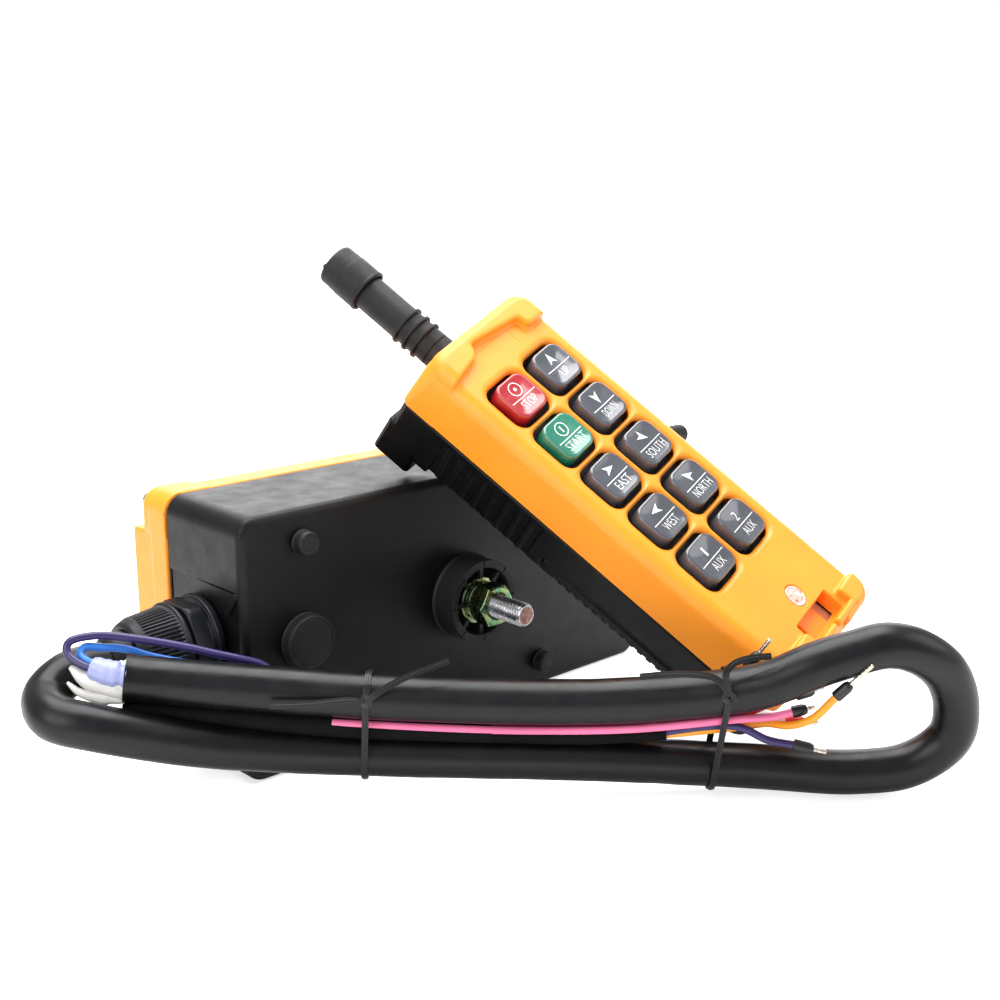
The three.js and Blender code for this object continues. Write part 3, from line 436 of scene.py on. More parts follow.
# ---------- materials ----------
def new_look(name):
    look = bpy.data.materials.new(name)
    look.use_nodes = True
    tree = look.node_tree
    tree.nodes.clear()
    out = tree.nodes.new("ShaderNodeOutputMaterial")
    shader = tree.nodes.new("ShaderNodeBsdfPrincipled")
    tree.links.new(shader.outputs[0], out.inputs[0])
    return look, tree, shader


def socket(tree, kind, wanted=(), **inputs):
    """A shader node with its inputs set or linked; i0, i1 ... name an input by number."""
    node = tree.nodes.new(kind)
    for key, value in wanted:
        setattr(node, key, value)
    for key, value in inputs.items():
        name = key.replace("_", " ")
        target = node.inputs[int(key[1:])] if key[0] == "i" and key[1:].isdigit() else node.inputs[name]
        if isinstance(value, bpy.types.NodeSocket):
            tree.links.new(value, target)
        else:
            target.default_value = value
    return node


def noise(tree, size_mm, detail=3.0, rough=0.5, stretch=None):
    coords = socket(tree, "ShaderNodeTexCoord").outputs["Object"]
    if stretch:
        coords = socket(tree, "ShaderNodeMapping", i0=coords, Scale=stretch).outputs[0]
    node = socket(tree, "ShaderNodeTexNoise", Vector=coords, Scale=1 / (size_mm * MM), Detail=detail,
                  Roughness=rough)
    return node.outputs["Fac"]


def mapped(tree, value, low, high, to_low, to_high):
    node = socket(tree, "ShaderNodeMapRange", Value=value)
    for i, v in zip((1, 2, 3, 4), (low, high, to_low, to_high)):
        node.inputs[i].default_value = v
    return node.outputs[0]


def mixed(tree, factor, a, b):
    node = tree.nodes.new("ShaderNodeMix")
    node.data_type = "RGBA"
    for index, value in ((0, factor), (6, a), (7, b)):
        if isinstance(value, bpy.types.NodeSocket):
            tree.links.new(value, node.inputs[index])
        else:
            node.inputs[index].default_value = value
    return node.outputs[2]


def rgb(r, g, b):
    """Screen colour to linear."""
    line = [c / 255 for c in (r, g, b)]
    return tuple(c / 12.92 if c <= 0.04045 else ((c + 0.055) / 1.055) ** 2.4 for c in line) + (1.0,)


BUMP_DEPTH = 0.2 * MM
PLASTIC_IOR = 1.5


def plastic(name, colour, rough=0.45, grain=0.35, bump=0.06, vary=0.1, wear=0.12, coat=0.0,
            metallic=0.0, scratch=0.0, shine=0.5):
    """Moulded or painted surface: soft mottling, fine grain, rubbed edges and uneven gloss."""
    look, tree, shader = new_look(name)
    dark = tuple(c * (1 - vary) for c in colour[:3]) + (1,)
    light = tuple(min(1, c * (1 + vary) + 0.004 * vary) for c in colour[:3]) + (1,)
    base = mixed(tree, mapped(tree, noise(tree, 28, 4), 0.35, 0.65, 0, 1), dark, light)
    speck = mapped(tree, noise(tree, grain * 2.2, 2), 0.62, 0.78, 0, vary * 1.5)
    base = mixed(tree, speck, base, light)
    point = socket(tree, "ShaderNodeNewGeometry").outputs["Pointiness"]
    edge = mapped(tree, point, 0.515, 0.58, 0, wear)
    pale = tuple(min(1, c * 1.25 + 0.05) for c in colour[:3]) + (1,)
    base = mixed(tree, edge, base, pale)
    tree.links.new(base, shader.inputs["Base Color"])
    gloss = mapped(tree, noise(tree, 9, 4, 0.6), 0.3, 0.7, rough - 0.07, rough + 0.08)
    if scratch:
        marks = noise(tree, 1.2, 3, 0.6, stretch=(1, 0.04, 1))
        lift = mapped(tree, marks, 0.66, 0.72, 0, scratch)
        gloss = socket(tree, "ShaderNodeMath", i0=gloss, i1=lift).outputs[0]
    tree.links.new(gloss, shader.inputs["Roughness"])
    height = noise(tree, grain, 2, 0.6)
    wave = noise(tree, 7, 2)
    total = socket(tree, "ShaderNodeMath", (("operation", "MULTIPLY_ADD"),), i0=wave, i1=1.6, i2=height)
    lump = socket(tree, "ShaderNodeBump", Strength=bump * 4, Distance=BUMP_DEPTH, Height=total.outputs[0])
    tree.links.new(lump.outputs[0], shader.inputs["Normal"])
    shader.inputs["Metallic"].default_value = metallic
    shader.inputs["IOR"].default_value = PLASTIC_IOR
    shader.inputs["Specular IOR Level"].default_value = shine
    shader.inputs["Coat Weight"].default_value = coat
    shader.inputs["Coat Roughness"].default_value = 0.1
    return look


def lens_look(name, colour):
    """Clear tinted plastic over a bright reflector."""
    look, tree, shader = new_look(name)
    point = noise(tree, 1.5, 2)
    tree.links.new(mixed(tree, mapped(tree, point, 0.35, 0.65, 0, 1), colour, rgb(255, 226, 214)),
                   shader.inputs["Base Color"])
    tree.links.new(mapped(tree, point, 0.3, 0.7, 0.06, 0.2), shader.inputs["Roughness"])
    shader.inputs["Coat Weight"].default_value = 1
    shader.inputs["Subsurface Weight"].default_value = 0.3
    shader.inputs["Subsurface Radius"].default_value = (0.002, 0.001, 0.001)
    return look


def plated(name, colour, other, rough=0.22, sheen_mm=5):
    """Passivated or bare metal: colour that shifts across the piece, with fine turning marks."""
    look, tree, shader = new_look(name)
    base = mixed(tree, mapped(tree, noise(tree, sheen_mm, 3), 0.38, 0.62, 0, 1), colour, other)
    point = socket(tree, "ShaderNodeNewGeometry").outputs["Pointiness"]
    base = mixed(tree, mapped(tree, point, 0.52, 0.6, 0, 0.5), base, rgb(235, 235, 225))
    tree.links.new(base, shader.inputs["Base Color"])
    shader.inputs["Metallic"].default_value = 1
    gloss = mapped(tree, noise(tree, 1.2, 4, 0.7), 0.3, 0.7, rough - 0.08, rough + 0.12)
    tree.links.new(gloss, shader.inputs["Roughness"])
    lump = socket(tree, "ShaderNodeBump", Strength=0.25, Distance=0.00008, Height=noise(tree, 0.3, 3))
    tree.links.new(lump.outputs[0], shader.inputs["Normal"])
    return look


ORANGE = plastic("orange_shell", rgb(255, 150, 30), 0.4, 0.4, 0.03, 0.05, 0.25)
BLACK = plastic("black_shell", rgb(8, 8, 10), 0.4, 0.35, 0.07, 0.3, 0.03, shine=0.25)
# Dull black with little gloss: the seam gasket's colour, and painted shade on the sheets between the lead's runs
DULL_BLACK_AND_SHADE = plastic("dull_black_and_painted_shade", rgb(6, 6, 7), 0.7, 0.4, 0.05, 0.1, 0.0, shine=0.1)
GLAND = plastic("gland_nylon", rgb(18, 20, 26), 0.4, 0.5, 0.06, 0.15, 0.08, shine=0.35)
RUBBER = plastic("black_rubber", rgb(18, 18, 20), 0.55, 0.3, 0.09, 0.2, 0.08, shine=0.35)
SHEATH = plastic("cable_sheath", rgb(9, 10, 13), 0.33, 0.6, 0.05, 0.2, 0.02, scratch=0.12, shine=0.3)
TIE = plastic("tie_plastic", rgb(14, 14, 16), 0.36, 0.5, 0.05, 0.15, 0.05, shine=0.4)
SILICONE = plastic("keypad_silicone", rgb(26, 27, 30), 0.7)
CAP_LOOKS = {
    "stop": plastic("button_red", rgb(160, 24, 34), 0.24, 0.5, 0.01, 0.12, 0.2, coat=0.8),
    "start": plastic("button_green", rgb(20, 116, 92), 0.24, 0.5, 0.01, 0.12, 0.2, coat=1.0),
    "": plastic("button_grey", rgb(70, 72, 80), 0.24, 0.5, 0.01, 0.12, 0.2, coat=0.9),
}
LEGEND = plastic("legend_white", rgb(238, 238, 236), 0.4, 0.4, 0.01, 0.04, 0.0)
LENS = lens_look("led_lens", rgb(236, 150, 130))
ZINC = plated("yellow_zinc", rgb(168, 172, 104), rgb(104, 150, 112), 0.2)
STEEL = plated("steel", rgb(200, 202, 206), rgb(180, 178, 182), 0.25)
STUD_END = plated("stud_end", rgb(190, 150, 140), rgb(150, 110, 105), 0.4, 2)
BOARD = plastic("circuit_board", rgb(31, 107, 58), 0.5, 0.8, 0.05, 0.2)
RELAY = plastic("relay_case", rgb(43, 63, 102), 0.4)
TRANSFORMER = plastic("transformer", rgb(168, 132, 44), 0.5, 1.2, 0.2, 0.3)
TERMINAL = plastic("terminal_green", rgb(59, 143, 79), 0.5)
BATTERY = plastic("battery", rgb(119, 124, 132), 0.35, 0.6, 0.02, 0.1, metallic=0.6)
WHITE_FILL = plastic("filler_white", rgb(232, 230, 226), 0.6, 0.8, 0.15, 0.08)
LAVENDER = plastic("sleeve_lavender", rgb(158, 164, 214), 0.35, 0.8, 0.08, 0.1)
TIN = plated("ferrule_tin", rgb(214, 208, 196), rgb(190, 180, 160), 0.28, 2)
COLLAR = plastic("ferrule_black", rgb(22, 22, 24), 0.35)
COLLAR_RED = plastic("ferrule_red", rgb(190, 24, 34), 0.35)
WIRE_LOOKS = {
    "violet": plastic("wire_violet", rgb(46, 34, 92), 0.34, 0.6, 0.03, 0.15),
    "blue": plastic("wire_blue", rgb(42, 120, 214), 0.34, 0.6, 0.03, 0.15),
    "white": plastic("wire_white", rgb(230, 229, 224), 0.36, 0.6, 0.03, 0.05),
    "red": plastic("wire_red", rgb(206, 30, 44), 0.34, 0.6, 0.03, 0.12),
    "pink": plastic("wire_pink", rgb(232, 112, 156), 0.34, 0.6, 0.03, 0.1),
    "orange": plastic("wire_orange", rgb(236, 150, 28), 0.34, 0.6, 0.03, 0.1),
}


# ---------- hand transmitter: shells ----------
def shell_outline(x, y, inset=0.0, narrow=0.0, longer=0.0):
    """Outline of the shells; `narrow` draws in the long sides and `longer` pushes out the antenna end."""
    front = y > SHELL_MIDDLE
    corner = np.where(front, 3.2 + 1.4 * narrow, 9.0) - 0.6 * inset
    half_long = SHELL_HALF_LONG - inset + longer * front
    return rect2(x, y - SHELL_MIDDLE, SHELL_HALF - inset - narrow, half_long, corner)


def near_button(x, y):
    """Position inside the nearest button's square."""
    row = np.clip(np.round(-y / ROW_PITCH), 0, 4)
    return np.abs(x) - COLUMN_PITCH / 2, y + row * ROW_PITCH


def front_field(x, y, z):
    """Front shell: drafted body, raised rims at both ends, wells, lamp opening and lanyard pocket."""
    below = SEAM_Z - 12
    rise = np.clip((z - SEAM_Z) / -SEAM_Z, 0, 1.15)
    outline = shell_outline(x, y, 0, SHELL_DRAFT * rise, -0.4 * rise)
    body = prism(outline, z, below, 0, 5.5)
    tall = prism(outline + 0.2, z, below, RIM_HIGH, 4.6)
    # antenna end: a slanting bar and two shoulders
    bar = 27.1 - 0.127 * x - y
    right = both(17.6 - x, 19.4 - y, 3)
    left = both(x + 11.4, 22.8 + 0.17 * (x + 14) - y, 5)
    top = add(add(bar, right, 2.5), left, 3)
    # tail end: a lug on each side of the pocket and two short arms
    off = np.abs(x - POCKET["x"])
    lugs = both(14.1 - off, y + 140.3, 1.5)
    arms = both(both(0.9 - off, y + 146.2, 0.5), -149.4 - y, 0.5)
    arms = np.minimum(arms, both(6.2 - off, y + 149.0, 0.5))
    region = np.minimum(top, np.minimum(lugs, arms))
    body = add(body, both(tall, region, 1.5), 1.2)
    ridge = prism(rect2(x - POCKET["x"], y + 147.9, 9, 1.0, 0.5), z, -3, 1.3, 0.5)
    body = add(body, ridge, 0.5)
    panel = block(x, y, z, -13, 10.5, 16.8, 25.0, -0.12, 4, 0.1)
    body = less(body, panel, 0.2)
    hollow = prism(outline + FRONT_WALL, z, below, -4.2, 2)
    floor = block(x, y, z, -12, 18, -148.3, -134.8, -7.6, -2, 0.5)
    body = add(less(body, hollow, 0.5), floor)
    bx, by = near_button(x, y)
    well = rect2(bx, by, WELL / 2, WELL / 2, WELL_CORNER)
    body = less(body, well, WELL_ROUND)
    away = np.hypot((x - LED[0]) / LED_OPENING[0], (y - LED[1]) / LED_OPENING[1])
    body = less(body, away * 4.5 - 4.5, 0.5)
    middle, half = (POCKET["low"] + POCKET["high"]) / 2, (POCKET["high"] - POCKET["low"]) / 2
    pocket = prism(rect2(x - POCKET["x"], y - middle, POCKET["half"], half, 0.8), z, POCKET["floor"], 9, 0.4)
    body = less(body, pocket, 0.6)
    slot = prism(rect2(off - 8.9, y - middle, 3.1, half - 0.9, 0.4), z, -12, -1, 0.1)
    body = less(body, slot, 0.3)
    return both(body, SEAM_Z - z, 0.5)


def rear_field(x, y, z):
    """Rear shell: tray with a deep block at the antenna end and gripping ribs down both sides."""
    lean = END_LEAN * np.clip((REAR_TOP_Z - z) / 26, 0, 1.2)
    outline = shell_outline(x, y, 0.5, 0.0, lean)
    body = prism(outline, z, REAR_Z, REAR_TOP_Z + 12, 2.5)
    deep = prism(rect2(x, y - 28.0 - lean / 2, 34.5, 8.2 + lean / 2, 2.0), z, BLOCK_Z, REAR_Z + 10, 1.0)
    foot = prism(rect2(x, y - 17.2, 33.6, 4.2, 1), z, REAR_Z - 2.4, REAR_Z + 8, 0.6)
    body = add(add(body, deep, 0.3), foot, 0.4)
    rib = RIBS["first"] - RIBS["wide"] / 2
    ly = repeated(y, rib, RIBS["pitch"], RIBS["count"] - 1)
    groove = rect2(np.abs(x) - 36.2, ly, 3.0, RIBS["wide"] / 2, 0.3)
    body = less(body, prism(groove, z, REAR_Z - 4, REAR_TOP_Z - 3, 0.3), 0.5)
    inner = shell_outline(x, y, 3.0)
    hollow = prism(inner, z, REAR_Z + 2.5, 0, 1)
    hollow = both(hollow, np.minimum(DOOR_TOP + 2 - y, DOOR_LINE_Z + 2 - z))
    body = less(body, hollow, 0.3)
    body = both(body, z - REAR_TOP_Z, 0.5)
    door = np.maximum(y - DOOR_TOP, z - DOOR_LINE_Z)
    body = less(body, door, 0.3)
    # the 50 keeps the antenna's hole out of the rest of the shell
    body = less(body, np.hypot(x, z - ANTENNA["z"]) - 1.8 + 50 * (y < 22), 0.1)
    for sx, sy in CASE_SCREWS:
        sunk = np.hypot(x - sx, y - sy) - CASE_SCREW_SEAT["radius"]
        body = less(body, np.maximum(sunk, z - REAR_Z - CASE_SCREW_SEAT["deep"]), 0.4)
    return body


def door_field(x, y, z):
    """Battery door: shallow tray with toothed edges, finger grips and a track down each side."""
    outline = shell_outline(x, y, 0.5)
    body = prism(outline, z, REAR_Z, DOOR_LINE_Z + 8, 2.5)
    body = both(body, z - DOOR_LINE_Z + DOOR_GAP, 0.4)
    body = both(body, y - DOOR_TOP + DOOR_GAP, 0.6)
    hollow = block(x, y, z, -32, 32, SHELL_TAIL + 3, DOOR_TOP + 9, REAR_Z + 2, DOOR_LINE_Z + 9, 1)
    body = less(body, hollow, 0.2)
    ly = repeated(y, DOOR_TOP - 8.8, DOOR_TEETH["pitch"], DOOR_TEETH["count"] - 1)
    notch = prism(rect2(np.abs(x) - 36, ly, 3.2, 1.0, 0.2), z, REAR_Z - 3, REAR_Z + 3.2, 0.2)
    body = less(body, notch, 0.3)
    gy = repeated(y, DOOR_GRIPS["first"], DOOR_GRIPS["pitch"], DOOR_GRIPS["count"] - 1)
    grip = prism(rect2(x, gy, 11, 0.7, 0.6), z, REAR_Z - 2, REAR_Z + 0.7, 0.3)
    body = less(body, grip, 0.4)
    track = prism(rect2(np.abs(x) - 36, y + 98, 2.4, 48, 0.3), z, DOOR_LINE_Z - 1.9, DOOR_LINE_Z - 1.0, 0.2)
    return less(body, track, 0.3)


moulded_piece("front_shell", front_field, (-36, -153, SEAM_Z), (36, 37, RIM_HIGH + 0.5), 0.6, ORANGE,
              "handset", place=HANDSET, replaces="handset_front_shell", slot="orange_shell")
moulded_piece("rear_shell", rear_field, (-36, -153, BLOCK_Z), (36, 39, REAR_TOP_Z), 0.65, BLACK, "handset",
              place=HANDSET, replaces="handset_rear_shell", slot="black_shell")
moulded_piece("battery_cover", door_field, (-36, -153, REAR_Z), (36, DOOR_TOP, DOOR_LINE_Z), 0.6, BLACK,
              "battery_door", place=HANDSET, replaces="battery_door", slot="black_shell")


# ---------- hand transmitter: keys, lamp, lanyard bar ----------
def ring_points(half_x, half_y, corner, z, per=7):
    """One level of a soft square."""
    out = []
    for cx, cy, start in ((1, 1, 0), (-1, 1, 90), (-1, -1, 180), (1, -1, 270)):
        for i in range(per + 1):
            a = math.radians(start + 90 * i / per)
            middle_x, middle_y = cx * (half_x - corner), cy * (half_y - corner)
            out.append((middle_x + corner * math.cos(a), middle_y + corner * math.sin(a), z))
    return out


def pillow(levels, half, corner):
    """A capped soft square from (inset, height) levels."""
    points, faces, rings = [], [], []
    for inset, z in levels:
        h = half - inset
        c = max(0.15, min(corner - inset * 0.75, h - 0.02))
        rings.append(len(points))
        points += ring_points(h, h, c, z)
    n = len(points) // len(levels)
    for low, high in zip(rings, rings[1:]):
        faces += [[low + i, low + (i + 1) % n, high + (i + 1) % n, high + i] for i in range(n)]
    faces.append([rings[0] + i for i in range(n)][::-1])
    faces.append([rings[-1] + i for i in range(n)])
    return np.array(points), faces


CAP_EDGE_Z = 1.4
CAP_ROUND = 0.9
CAP_DISH = 0.7
CAP_CORNER = 4.6
CAP_TAPER = 0.12
LEGEND_LIFT = 0.03


def cap_height(x, y):
    """The dished top of a key."""
    away = min(1.0, (abs(x) ** 4 + abs(y) ** 4) ** 0.25 / (CAP / 2 - CAP_ROUND))
    return CAP_EDGE_Z + CAP_ROUND - CAP_DISH * (1 - away**2)


def key_cap():
    """One key, from its hidden skirt up to the dished top."""
    half = CAP / 2
    levels = [(0.3, -6.4), (0.05, -6.2), (0, -5.7), (0, -4.4)]
    for i in range(7):
        a = math.radians(15 * i)
        levels.append((CAP_TAPER + CAP_ROUND * (1 - math.cos(a)), CAP_EDGE_Z + CAP_ROUND * math.sin(a)))
    top = half - CAP_ROUND - CAP_TAPER
    for share in (0.94, 0.85, 0.7, 0.55, 0.4, 0.25, 0.1, 0.03):
        levels.append((half - top * share, CAP_EDGE_Z + CAP_ROUND - CAP_DISH * (1 - share**2)))
    return pillow(levels, half, CAP_CORNER)


def text_mesh(words, size):
    """Plain generic lettering as flat faces, centred."""
    curve = bpy.data.curves.new("words", "FONT")
    curve.body = words
    curve.size = size
    curve.align_x = "CENTER"
    curve.align_y = "CENTER"
    curve.space_character = 1.02
    curve.resolution_u = 3
    curve.offset = -0.014 * size
    holder = bpy.data.objects.new("words", curve)
    bpy.context.scene.collection.objects.link(holder)
    bpy.context.view_layer.update()
    mesh = bpy.data.meshes.new_from_object(holder.evaluated_get(bpy.context.evaluated_depsgraph_get()))
    points = np.array([v.co for v in mesh.vertices])
    faces = [list(p.vertices) for p in mesh.polygons]
    bpy.data.objects.remove(holder)
    return points, faces


def flat_ring(cx, cy, outer, inner, sides=28):
    a = np.arange(sides) * 2 * math.pi / sides
    points = [(cx + r * math.cos(t), cy + r * math.sin(t), 0) for r in (outer, inner) for t in a]
    return np.array(points), [[i, (i + 1) % sides, sides + (i + 1) % sides, sides + i] for i in range(sides)]


def flat_shape(outline):
    return np.array([(x, y, 0) for x, y in outline], float), [list(range(len(outline)))]


def arrow_mark(angle):
    """A notched arrowhead made of two triangles."""
    a = math.radians(angle)
    c, s = math.cos(a), math.sin(a)
    outline = ((3.0, 0), (-2.4, 2.0), (-1.0, 0), (-2.4, -2.0))
    pts = [(x * c - y * s, x * s + y * c + 3.4, 0) for x, y in outline]
    return np.array(pts), [[0, 1, 2], [0, 2, 3]]


def cut_fine(points, faces, longest=0.8):
    """Splits long edges so that flat marks can follow a domed cap."""
    bm = bmesh.new()
    verts = [bm.verts.new(p) for p in points]
    for f in faces:
        try:
            bm.faces.new([verts[i] for i in f])
        except ValueError:
            pass
    bmesh.ops.triangulate(bm, faces=bm.faces)
    for _ in range(4):
        long_edges = [e for e in bm.edges if e.calc_length() > longest]
        if not long_edges:
            break
        bmesh.ops.subdivide_edges(bm, edges=long_edges, cuts=1)
        bmesh.ops.triangulate(bm, faces=[f for f in bm.faces if len(f.verts) > 3])
    bm.verts.index_update()
    out = np.array([v.co for v in bm.verts]), [[v.index for v in f.verts] for f in bm.faces]
    bm.free()
    return out


WORDS = {"aux_1": "AUX", "aux_2": "AUX"}
ARROWS = {"up": 90, "down": -90, "east": 0, "west": 180, "south": -45, "north": 135}


def fitted_text(words, width, high, at):
    """Lettering squeezed into a box and centred at a place."""
    points, faces = text_mesh(words, 5.0)
    low, top = points.min(0), points.max(0)
    size = np.maximum(top - low, 1e-6)
    points = (points - (low + top) / 2) * np.array((width / size[0], high / size[1], 0)) + np.array((*at, 0))
    return points, faces


WORD_WIDTH = {2: 4.4, 3: 7.0, 4: 8.4, 5: 11.6}


def legend(name):
    """White marks of a key: a line, a generic word, and an arrow, ring or number."""
    marks = [flat_shape([(-7.4, -1.05), (7.4, -1.05), (7.4, -0.7), (-7.4, -0.7)])]
    word = WORDS.get(name, name.upper())
    marks.append(fitted_text(word, WORD_WIDTH[len(word)], 3.7, (0.4, -3.9)))
    if name in ARROWS:
        marks.append(arrow_mark(ARROWS[name]))
    elif name == "stop":
        marks += [flat_ring(0, 3.4, 3.1, 2.7), flat_ring(0, 3.4, 0.8, 0.02, 16)]
    elif name == "start":
        marks += [flat_ring(0, 3.4, 3.1, 2.7), flat_shape([(-0.3, 2.0), (0.3, 2.0), (0.3, 4.8), (-0.3, 4.8)])]
    else:
        marks.append(fitted_text(name[-1], 1.0 if name[-1] == "1" else 2.2, 4.0, (0, 3.0)))
    points, faces = cut_fine(*joined(marks))
    for p in points:
        p[2] = cap_height(p[0], p[1]) + LEGEND_LIFT
    return points, faces


for row, pair in enumerate(BUTTONS):
    for column, name in enumerate(pair):
        x, y = (column - 0.5) * COLUMN_PITCH, -row * ROW_PITCH
        at = HANDSET @ Matrix.Translation((x, y, 0))
        look = CAP_LOOKS.get(name, CAP_LOOKS[""])
        slot = {"stop": "button_red", "start": "button_green"}.get(name, "button_grey")
        piece(f"key_{name}", *key_cap(), look, f"button_{name}", at, replaces=f"button_{name}", slot=slot,
              crease=50)
        piece(f"legend_{name}", *legend(name), LEGEND, f"button_{name}", at, crease=None)


def oval_lathe(profile, sx, sy, sides=40):
    points, faces = lathe(profile, sides)
    return points * np.array((sx, sy, 1)), faces


lens_at = HANDSET @ Matrix.Translation((LED[0], LED[1], 0))
lens_profile = softened([(0, -8), (2.8, -8), (4.0, -6), (4.0, -0.1), (3.4, 0.15), (2.9, -0.35), (2.4, -0.4),
                         (2.0, 0.1), (0.9, 0.1), (0, -0.1)], 0.25)
piece("lamp_window", *oval_lathe(lens_profile, 0.98, 1.17), LENS, "handset", lens_at, replaces="led_lens",
      slot="led_lens", crease=40)
bar_path = np.array([(x, -141.3, -8.9) for x in np.linspace(-15, 15, 9)])
LANYARD = plated("lanyard_zinc", rgb(225, 220, 218), rgb(200, 196, 200), 0.5, 1)
piece("lanyard_plate", *sweep(bar_path, cut_corners(4.8, 0.7, 0.2)), LANYARD, "handset", HANDSET, slot="steel")


# ---------- hand transmitter: antenna ----------
ON_ANTENNA = HANDSET @ axis_matrix((0, 1, 0), (0, 0, ANTENNA["z"]))


def seat_arc(radius, sides=9):
    """A round seat about the flexing point, from the axis out to the rod's radius."""
    away = [ANTENNA["rod"] * i / sides for i in range(sides + 1)]
    return [(r, ANTENNA["flex"] - math.sqrt(radius**2 - r**2)) for r in away]


a = ANTENNA
collar = [(0, a["foot"]), (1.5, a["foot"]), (1.5, 35.6), (a["rod"], 35.6)] + seat_arc(a["seat"] + 0.3)[::-1]
piece("antenna_collar", *lathe(collar), RUBBER, "handset", ON_ANTENNA, replaces="antenna_base",
      slot="black_rubber")
rod = seat_arc(a["seat"])
for at in ANTENNA_RINGS:
    rod += [(a["rod"] - 0.25, at - 0.75), (a["ring"], at - 0.7), (a["ring"], at + 0.55), (a["rod"], at + 0.6)]
end = a["cap_from"]
rod += [(a["rod"], end + 1.0), (a["core"], end + 1.2), (a["core"], end + 14), (0, end + 14)]
turned("antenna_stem", rod, RUBBER, "handset_antenna", ON_ANTENNA, 0.22, 80, replaces="antenna_rod",
       slot="black_rubber")
r, tip, core = a["cap"], a["tip"], a["core"] + 0.3
cap = [(8.35, end - 0.2), (r, end - 0.2, 0.5), (r + 0.1, end + 0.9), (r - 0.15, end + 1.4),
       (r - 0.1, end + 10.6), (r - 0.35, end + 10.9), (r - 0.35, end + 13.4), (r - 0.5, end + 13.7),
       (r - 0.5, tip, 1.6), (0, tip), (0, end + 14.3), (core, end + 14.3), (core, end + 1.8), (8.1, end + 1.8),
       (8.35, end - 0.2)]
nub = lathe(softened([(0, tip - 1), (1.2, tip - 1), (1.1, tip + 2.6), (0, tip + 2.9)], 0.6), 24)
nub = (nub[0] + np.array((-2.4, 2.3, 0)), nub[1])
piece("antenna_tip", *joined([lathe(softened(cap, 0.3), 80), nub]), RUBBER, "handset_antenna", ON_ANTENNA,
      replaces="antenna_cap", slot="black_rubber")


# ---------- receiver ----------
def box_outline(x, z, inset=0.0):
    return rect2(x, z, BOX_HALF[0] - inset, BOX_HALF[1] - inset, BOX_CORNER - inset)


def slanted(x, y, x0, y0, x1, y1, half):
    """Distance to a short bar between two points."""
    dx, dy = x1 - x0, y1 - y0
    t = np.clip(((x - x0) * dx + (y - y0) * dy) / (dx * dx + dy * dy), 0, 1)
    return np.hypot(x - x0 - t * dx, y - y0 - t * dy) - half


PLUGS = {"plug_small_1": (-81.7, 39.2, 5.0), "plug_small_2": (44.4, -40.2, 5.0),
         "plug_large": (-82, 0.5, 11.0)}
PLUG_STEPS = [(1.6, -5.2), (1.6, 0.3), (0, 0.3), (0, 1), (0.35, 1.3), (0.35, 4.4), (0.7, 5.5, 0.6), (1.5, 5.5),
              (1.7, 5.25), (2.0, 5.25), (2.2, 5.45)]
HOLE_DEPTH = 8


def housing_field(x, y, z):
    """Housing; the outline is in x and z, pushed along y."""
    body = prism(box_outline(x, z), y, FACE_Y, RIM_Y + 12, 3.2)
    body = both(body, y - RIM_Y, 0.4)
    hollow = prism(box_outline(x, z, HOUSING_WALL), y, FACE_Y + 3, RIM_Y + 12, 2)
    body = less(body, hollow, 0.3)
    panel = prism(rect2(z + 12.5, y - 66, 35.5, 25, 0.4), np.abs(x), BOX_HALF[0] - 1.1, BOX_HALF[0] + 9, 0)
    body = less(body, panel, 0.3)
    away = np.hypot(x, z)
    body = less(body, np.maximum(away - 5.3, y - FACE_Y - HOLE_DEPTH), 0.2)
    for px, pz, radius in PLUGS.values():
        seat = np.hypot(x - px, z - pz)
        body = less(body, np.maximum(seat - radius + 1.2, y - FACE_Y - HOLE_DEPTH), 0.2)
    body = less(body, np.maximum(np.hypot(y - GLAND_Y, z) - 12.6, x + 90), 0.3)
    body = less(body, np.maximum(np.hypot(y - STUB[0], z - STUB[1]) - 3.5, 100 - x), 0.2)
    for sx in (-1, 1):
        for sz in (-1, 1):
            post = np.hypot(x - sx * COVER_SCREWS[0], z - sz * COVER_SCREWS[1])
            boss = np.maximum(np.maximum(post - BOSS["radius"], y - RIM_Y), box_outline(x, z, 0.5))
            body = add(body, np.maximum(boss, FACE_Y + 1.5 - y), 0.5)
            body = less(body, np.maximum(post - BOSS["hole"], RIM_Y - BOSS["deep"] - y), 0.2)
    return body


def fin_field(x, y, z):
    """Slanting rib in the recess of the end wall."""
    bar = slanted(y, z, 41.3, 22.5, 48.2, 13.8, 1.1)
    return prism(bar, -x, BOX_HALF[0] - 2.2, BOX_HALF[0] + 0.1, 0.3)


